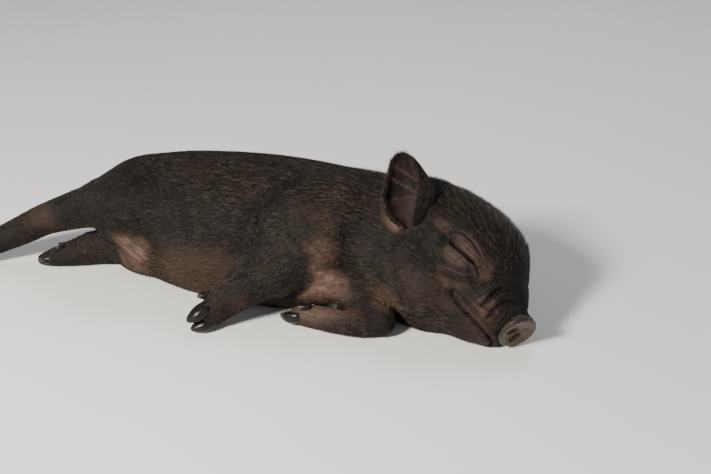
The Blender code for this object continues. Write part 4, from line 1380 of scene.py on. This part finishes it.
# %% Measurements of the feet
FEET = {  # toe, forward, across, way of the sole, claw, dewclaw, its place, paleness
    "forefoot_right": ((-5.7, -106.8, 12.2), (-0.605, -0.711, -0.356), (0.274, 0.2375, -0.932),
                       -1, (12.4, 6.2, 7.8), (7.5, 3.4, 3.8), (15, 12.7, 8), 0.03),
    "forefoot_left": ((62, -66, 8), (-1, 0.05, -0.2), (0.0, -0.95, 0.3),
                      1, (11.0, 5.0, 6.0), (6.0, 2.8, 3.0), (16, 6.5, 8.5), 0.35),
    "hindfoot_right": ((-276, -67, 10.5), (-0.8, -0.45, -0.35), (0.45, -0.85, 0.1),
                       1, (11.0, 5.2, 6.0), (6.0, 3.0, 3.2), (17, 9, 9), 0.12),
    "hindfoot_left": ((-197, -38.5, 7.0), (-0.87, -0.45, -0.15), (0.4, -0.8, 0.25),
                      1, (8.0, 4.2, 4.6), (4.6, 2.3, 2.4), (16, 8, 10), 0.35),
}


def hoof(local):
    """Ball to hoof: x forward, y across, z to the sole. The ball is made fuller by the
    ratio of a cubic outline to a round one, then narrows to a blunt point. The sole is flat."""
    x, y, z = local.T
    full = np.sqrt((1 - np.abs(x) ** 3.4) / np.maximum(1 - x ** 2, 1e-6))
    full = np.where(np.abs(x) < 0.999, full, 1)
    y = y * full
    z = z * full
    pinch = 1 - 0.36 * ramp(x, 0.0, 1.0)
    z = np.where(z > 0.55, 0.55 + 0.25 * (z - 0.55), z)
    rise = 0.16 * ramp(x, 0.2, 1.0)
    return np.stack([x, y * pinch, z * pinch + rise], 1)


def claw_finish():
    """Black horn with growth bands, paler at the tip."""
    finish = Finish("claw_black_horn", 0.22)
    place = finish.object_place()
    bands = finish.noise(finish.map_place("lie", (240, 1500, 1)), 1, 3, 0.6)
    cloud = finish.noise(place, 120, 2, 0.5)
    pale = finish.number("tip")
    ground = finish.mix(cloud, (0.003, 0.0026, 0.0025), (0.012, 0.0095, 0.0085))
    return finish.wear(Base_Color=finish.mix(pale * 0.75, ground, (0.180, 0.135, 0.095)),
                       Roughness=0.17 + bands * 0.16,
                       Normal=finish.bump(bands, 0.0004, 0.45))


# %% Claws
claw_material = claw_finish()
for foot, (toe, forward, across, way, claw, dewclaw, behind, pale) in FEET.items():
    toe = np.array(toe, float)
    forward = unit(forward)
    across = square_to(np.array(across, float), forward)
    sole = np.cross(forward, across)
    sole = sole * np.sign(sole[2]) * way
    for number, sign in (("outer", -1), ("inner", 1)):
        claw_at = toe + claw[1] * sign * across - 1.5 * forward
        dewclaw_at = toe - behind[0] * forward + behind[1] * sign * across + behind[2] * sole
        for kind, size, place, turned in (("claw", claw, claw_at, -0.14),
                                          ("dewclaw", dewclaw, dewclaw_at, 0.5)):
            size = np.array(size)
            ahead = unit(forward + turned * sign * across)
            side = square_to(across, ahead)
            axes = np.array([ahead, side, square_to(sole, ahead)])
            place[2] = max(place[2], 0.88 * np.linalg.norm(axes[:, 2] * size))
            points, faces = ball_grid(place, size, axes, floor_frame, 20, 28, hoof)
            points[:, 2] = np.maximum(points[:, 2], HAIR_LIFT)
            node = foot + "_claw_" + number
            name = node if kind == "claw" else foot + "_dewclaw_" + number
            piece = new_piece(name + "_horn", points, faces, claw_material,
                              [node] if kind == "claw" else ())
            forth = (points - place) @ ahead / size[0]
            keep_numbers(piece, tip=ramp(forth, 0.2, 1.0) * pale)
            keep_map(piece, "lie", np.stack([(points - place) @ side, forth * size[0]], 1) * MM)
print("claws:", 2 * len(FEET), "dewclaws:", 2 * len(FEET))

# %% [markdown]
# ## Coat
# The hair is short and lies flat, so the skin's bump carries most of it. Over that lie fine
# mesh hairs, each a three-sided spike that leaves the skin at a low angle. They are
# shortest on the muzzle and feet, longest on the nape and forehead, where they also stand
# up enough to break the outline, and sparse where the skin is bare.

# %% Where the hairs grow
def cross_products(points, triangles):
    """For each triangle the cross product of two sides: its normal, twice its area long."""
    a, b, c = (points[triangles[:, k]] for k in range(3))
    return np.cross(b - a, c - a)


def spread_roots(points, triangles, share, count):
    """Random points on the triangles, as many on each as its area times its share."""
    area = np.linalg.norm(cross_products(points, triangles), axis=1) / 2
    area = area * share[triangles].mean(1)
    pick = np.searchsorted(np.cumsum(area) / area.sum(), draw.random(count))
    pick = np.minimum(pick, len(triangles) - 1)
    r = np.sqrt(draw.random(count))
    s = draw.random(count)
    return pick, np.stack([1 - r, r * (1 - s), r * s], 1)


def at_roots(corners, weights):
    """Mean of the values at three corners of each root's triangle, by the root's weights."""
    return (corners * weights.reshape(weights.shape + (1,) * (corners.ndim - 2))).sum(1)


def mesh_normals(points, triangles):
    """Normal of each vertex: the sum of its triangles' cross products, made unit length."""
    cross = cross_products(points, triangles)
    return unit(sum(summed(triangles[:, k], cross, len(points)) for k in range(3)))


# %% Length, lift and share of the hairs
BODY_HAIR = 5.6   # mm
HEAD_HAIR = 4.8
TALL_HAIR = 2.6   # more on the nape and forehead
LIE_LIFT = 6.0   # degrees from the skin
TALL_LIFT = 26


def coat_style(points):
    """Length in mm, lift in degrees and share of the hairs, from the place on the body."""
    head = head_frame.into(points)
    body = body_frame.into(points)
    h, side, crown = head.T
    length = np.full(len(points), BODY_HAIR)
    lift = np.full(len(points), LIE_LIFT)
    share = np.ones(len(points))
    in_head = ramp(h, -75, -45) * ramp(body[:, 0], 118, 150)
    length = length + (HEAD_HAIR - length) * in_head
    ridge = ramp(body[:, 2], 30, 58) * ramp(60 - np.abs(body[:, 1]), 0, 30)
    nape = ramp(body[:, 0], 70, 120) * ridge * (1 - in_head)
    forehead = in_head * ramp(crown, 14, 42) * ramp(42 - h, 0, 22)
    tall = np.maximum(nape, forehead)
    length = length + TALL_HAIR * tall + 1.2 * ridge * ramp(-body[:, 0], 40, 110)
    lift = lift + TALL_LIFT * tall + 6 * ridge
    face = in_head * ramp(h, 22, 45)
    length = length * (1 - 0.74 * face)
    share = share * (1 + 0.3 * face)
    length = length * (1 - 0.25 * in_head * ramp(30 - np.abs(crown), 0, 30))
    for sign in (1, -1):
        eye = np.linalg.norm((head * (1, sign, 1) - (2, 45.5, 0)) / (1.35, 1, 1), axis=1)
        length = length * (1 - 0.55 * ramp(20 - eye, 0, 10))
    for mass in (fore_right, shin_left, hind_right, foot_left, fore_left, hind_left):
        gap, part, _, _ = mass.chart(points)
        on_leg = ramp(7 - gap, 0, 5)
        low = ramp(part, 0.15, 0.9)
        length = length * (1 - on_leg * (0.18 + 0.46 * low))
        share = share * (1 + on_leg * low * 0.9)
    return np.stack([length, lift], 1), share


def spread_normals(points, triangles, rounds):
    """Normals of the mesh, each averaged with its neighbours' a few times over."""
    one, other = face_edges(triangles).T
    total = mesh_normals(points, triangles)
    for _ in range(rounds):
        total = unit(total + summed(one, total[other], len(points)))
    return total


# %% Hairs on the skin
SKIN_HAIRS = 280000
RESTING = 1.2   # mm over the floor: no hair below
SLIT_GAP = 1.4   # mm from the slit of the eye without hair
MOUTH_GAP = 1.8   # the same at the line of the mouth
in_crease = skin_crease[:, None]
skin_normals = unit((1 - 0.6 * in_crease) * spread_normals(skin_points, skin_faces, 3)
                    + 0.6 * in_crease * smooth_normals)
skin_style, share = coat_style(skin_points)
skin_style[:, 0] *= 1 - 0.5 * skin_crease
in_ear = np.max([ear.inside(skin_points) for ear in ears], axis=0)
skin_style[:, 0] *= 1 - 0.5 * in_ear
share = share * (1 - 0.75 * skin_bare)
share[skin_points[:, 2] < RESTING] = 0
local = head_frame.into(skin_points)
near_face = np.flatnonzero(local[:, 0] > -40)
mirrored = np.stack([local[:, 0], np.abs(local[:, 1]), local[:, 2]], 1)[near_face]
for line, gap in ((eye_line, SLIT_GAP), (mouth_line, MOUTH_GAP)):
    share[near_face[near_line(mirrored, line)[0] < gap]] = 0
past_disc = (local - DISC_MIDDLE) @ DISC_FRONT
share[(past_disc > -1.0) & (local[:, 0] > 30)] = 0
share[in_ear > 0.5] *= 0.6
pick, weights = spread_roots(skin_points, skin_faces, share, SKIN_HAIRS)
corner = skin_faces[pick]
spot = at_roots(skin_spot[pick], weights)
spot[:, 0] = (spot[:, 0] + 0.5) % 1.0
style = at_roots(skin_style[corner], weights)
# the seventh column is the painted shade at each root
hair_sets = [(at_roots(skin_points[corner], weights), at_roots(skin_normals[corner], weights),
              at_roots(skin_where.lie[corner], weights), style[:, 0], style[:, 1],
              at_roots(skin_bare[corner], weights), at_roots(skin_painted_shade[corner], weights),
              REGION_CORNER[skin_region[pick]] + spot * REGION_SIZE[skin_region[pick]])]
print("hairs on the skin:", SKIN_HAIRS)

# %% Hairs on the ears
EAR_HAIRS = 9000
for (points, triangles, part, across, inside, bare), ear, (low, size) in zip(
        ear_grids, ears, EAR_FIELDS):
    grid_normals = mesh_normals(points, triangles)
    edge = ramp(np.abs(across - 0.5), 0.42, 0.5)
    weight = (1 - 0.55 * inside) * ramp(part, -0.15, 0.0) + 1.5 * edge
    pick, weights = spread_roots(points, triangles, weight, EAR_HAIRS)
    corner = triangles[pick]
    rim, open_side = at_roots(edge[corner], weights), at_roots(inside[corner], weights)
    way = unit((ear.along * ear.flip) @ head_frame.axes)
    spot = np.stack([at_roots(across[corner], weights),
                     np.clip(at_roots(part[corner], weights), 0, 1) * 0.9], 1)
    # the seventh column is painted shade on the open side of the ear
    hair_sets.append((at_roots(points[corner], weights), at_roots(grid_normals[corner], weights),
                      np.tile(way, (EAR_HAIRS, 1)), 3.2 + 1.6 * rim + 0.6 * open_side,
                      7 + 22 * rim + 5 * open_side, at_roots(bare[corner], weights),
                      0.35 * open_side, np.array(low) + spot * size))
roots, normals, lie, length, lift, bare, dark, root_map = (
    np.concatenate(columns) for columns in zip(*hair_sets))
on_ear = np.arange(len(roots)) >= SKIN_HAIRS

# %% Spikes
def spikes(root, normal, lie, length, lift, width):
    """Four points for each hair: a triangle just under the skin and the tip.

    The tip is the root, plus the length times the lie turned up by the lift.
    """
    normal = unit(normal)
    lie = unit(lie - (lie * normal).sum(1)[:, None] * normal)
    side = np.cross(normal, lie)
    swing = np.radians(draw.normal(0, 7, len(root)))[:, None]
    lie = unit(lie * np.cos(swing) + side * np.sin(swing))
    side = np.cross(normal, lie)
    rise = np.radians(lift)[:, None]
    w = width[:, None]
    start = root - 0.12 * normal
    tip = root + length[:, None] * (lie * np.cos(rise) + normal * np.sin(rise))
    return np.stack([start - side * w / 2, start + side * w / 2, start + normal * (0.1 + w * 0.5),
                     tip], 1)


# %% One spike for each root
SPIKE = np.array([(0, 2, 1), (0, 1, 3), (1, 2, 3), (2, 0, 3)])   # the base and three sides
length = length * np.clip(draw.normal(1, 0.2, len(roots)), 0.5, 1.6)
lift = np.clip(lift + draw.normal(0, 3.0, len(roots)), 1.5, 60)
thickness = 1.0
width = (np.where(on_ear, 0.20, 0.17 + 0.022 * length) * thickness
         * draw.uniform(0.75, 1.25, len(roots)))
spike_points = spikes(roots, normals, lie, length, lift, width)
spike_points[:, :, 2] = np.maximum(spike_points[:, :, 2], HAIR_LIFT)
tone = draw.random(len(roots))
print("hair length, mm:", np.round(np.percentile(length, (5, 50, 95)), 1))


# %% Finish of the coat
def coat_finish():
    """The skin's own colours by the same coordinates, with single light hairs among them."""
    finish = Finish("coat_black_hair", 0.30)
    place = finish.object_place()
    tone = finish.number("tone")
    bare = finish.number("bare")
    # fewer light hairs where painted shade darkens the coat
    light = tone.step(0.70, 1.0) * (1 - finish.number("dark") * 0.45)
    tipped = finish.number("tip")
    base = coat_colour(finish, place)
    base = finish.mix(light * (0.20 + tipped * 0.45), base, (0.235, 0.185, 0.148))
    brown = finish.mix(bare * 0.55, base, (0.110, 0.062, 0.040))
    return finish.wear(Base_Color=finish.mix(bare * bare * 0.3, brown, PINK_SKIN),
                       Roughness=0.25 + tone * 0.2)


coat_material = coat_finish()

# %% Coat pieces
COAT_PARTS = 7
BAKE_PATCH = 0.0015 * np.array([(-1, -1), (1, -1), (0, -0.6), (0, 1)])   # a hair's corners
order = np.argsort(roots[:, 0], kind="stable")
for number, chosen in enumerate(np.array_split(order, COAT_PARTS)):
    count = len(chosen)
    points = spike_points[chosen].reshape(-1, 3)
    faces = (SPIKE[None] + 4 * np.arange(count)[:, None, None]).reshape(-1, 3)
    piece = new_piece("coat_" + str(number + 1), points, faces, coat_material)
    # dark carries the painted shade at each hair's root
    keep_numbers(piece, tone=np.repeat(tone[chosen], 4), bare=np.repeat(bare[chosen], 4),
                 dark=np.repeat(dark[chosen], 4), tip=np.tile((0.1, 0.1, 0.1, 1), count))
    keep_map(piece, "OFBake", (root_map[chosen][:, None] + BAKE_PATCH).reshape(-1, 2))
    print(piece.name, len(faces), "triangles")

# %% [markdown]
# ## Floor, light and camera
# The model lies on a plain pale floor in soft light. The photograph's sun comes from the
# camera's left, so the key light does too. A wide one over the back draws the outline of the
# black coat, a weak one on the right and the pale surround fill the shadows, and the camera
# has the photograph's view.

# %% Floor and light
def floor_finish():
    """Pale warm grey, a little cloudy and quite matt."""
    finish = Finish("floor_pale", 0.3)
    cloud = finish.noise(finish.object_place(), 3, 2, 0.5)
    return finish.wear(Base_Color=finish.mix(cloud, (0.70, 0.69, 0.67), (0.76, 0.75, 0.73)),
                       Roughness=0.75)


floor_mesh = bpy.data.meshes.new("floor")
floor_mesh.from_pydata([(-6, -6, 0), (6, -6, 0), (6, 6, 0), (-6, 6, 0)], [], [(0, 1, 2, 3)])
floor_mesh.materials.append(floor_finish())
in_scene("floor", floor_mesh)


def placed(axes, place):
    """Matrix that turns an object to three axes and moves it to a place."""
    matrix = np.eye(4)
    matrix[:3, :3] = np.array(axes).T
    matrix[:3, 3] = place
    return Matrix(matrix.tolist())


def soft_light(name, place, energy, size, colour=(1, 1, 1)):
    """Square area light that looks at the middle of the piglet."""
    lamp = bpy.data.lights.new(name, "AREA")
    lamp.energy = energy
    lamp.size = size
    lamp.color = colour
    back = unit(np.array(place) - (0, 0, 0.05))
    side = unit(np.cross((0, 0, 1), back))
    in_scene(name, lamp).matrix_world = placed((side, np.cross(back, side), back), place)


soft_light("light_key_front_left", (-0.42, -1.42, 1.00), 78, 0.34, (1.0, 0.95, 0.88))
soft_light("light_above_behind", (0.2, 0.9, 1.4), 10, 0.8, (0.95, 0.97, 1.0))
soft_light("light_front_right", (1.3, -0.9, 0.8), 3, 0.7)
world = bpy.data.worlds.new("pale_surround")
world.use_nodes = True
surround = world.node_tree.nodes["Background"].inputs
surround["Color"].default_value = (0.96, 0.96, 0.98, 1)
surround["Strength"].default_value = 0.22
bpy.context.scene.world = world

# %% Camera
AZIMUTH = radians(20)
ELEVATION = radians(25)
DISTANCE = 1.3
IMAGE = (711, 474)
ANCHOR_PIXEL = (255, 226)   # where the point 55 mm over the origin is in the photograph
LENS = 73
SENSOR = 36
right = np.array((cos(AZIMUTH), sin(AZIMUTH), 0))
back = np.array((sin(AZIMUTH) * cos(ELEVATION), -cos(AZIMUTH) * cos(ELEVATION), sin(ELEVATION)))
above = np.cross(back, right)
focal = LENS / SENSOR * IMAGE[0]
offset = (np.array(ANCHOR_PIXEL) - np.array(IMAGE) / 2) / focal * DISTANCE
eye_place = np.array((0, 0, 0.055)) + DISTANCE * back - offset[0] * right + offset[1] * above
lens_data = bpy.data.cameras.new("camera")
lens_data.lens = LENS
lens_data.sensor_width = SENSOR
camera = in_scene("camera", lens_data)
camera.matrix_world = placed((right, above, back), eye_place)
bpy.context.scene.camera = camera
print("camera at", np.round(eye_place, 4))
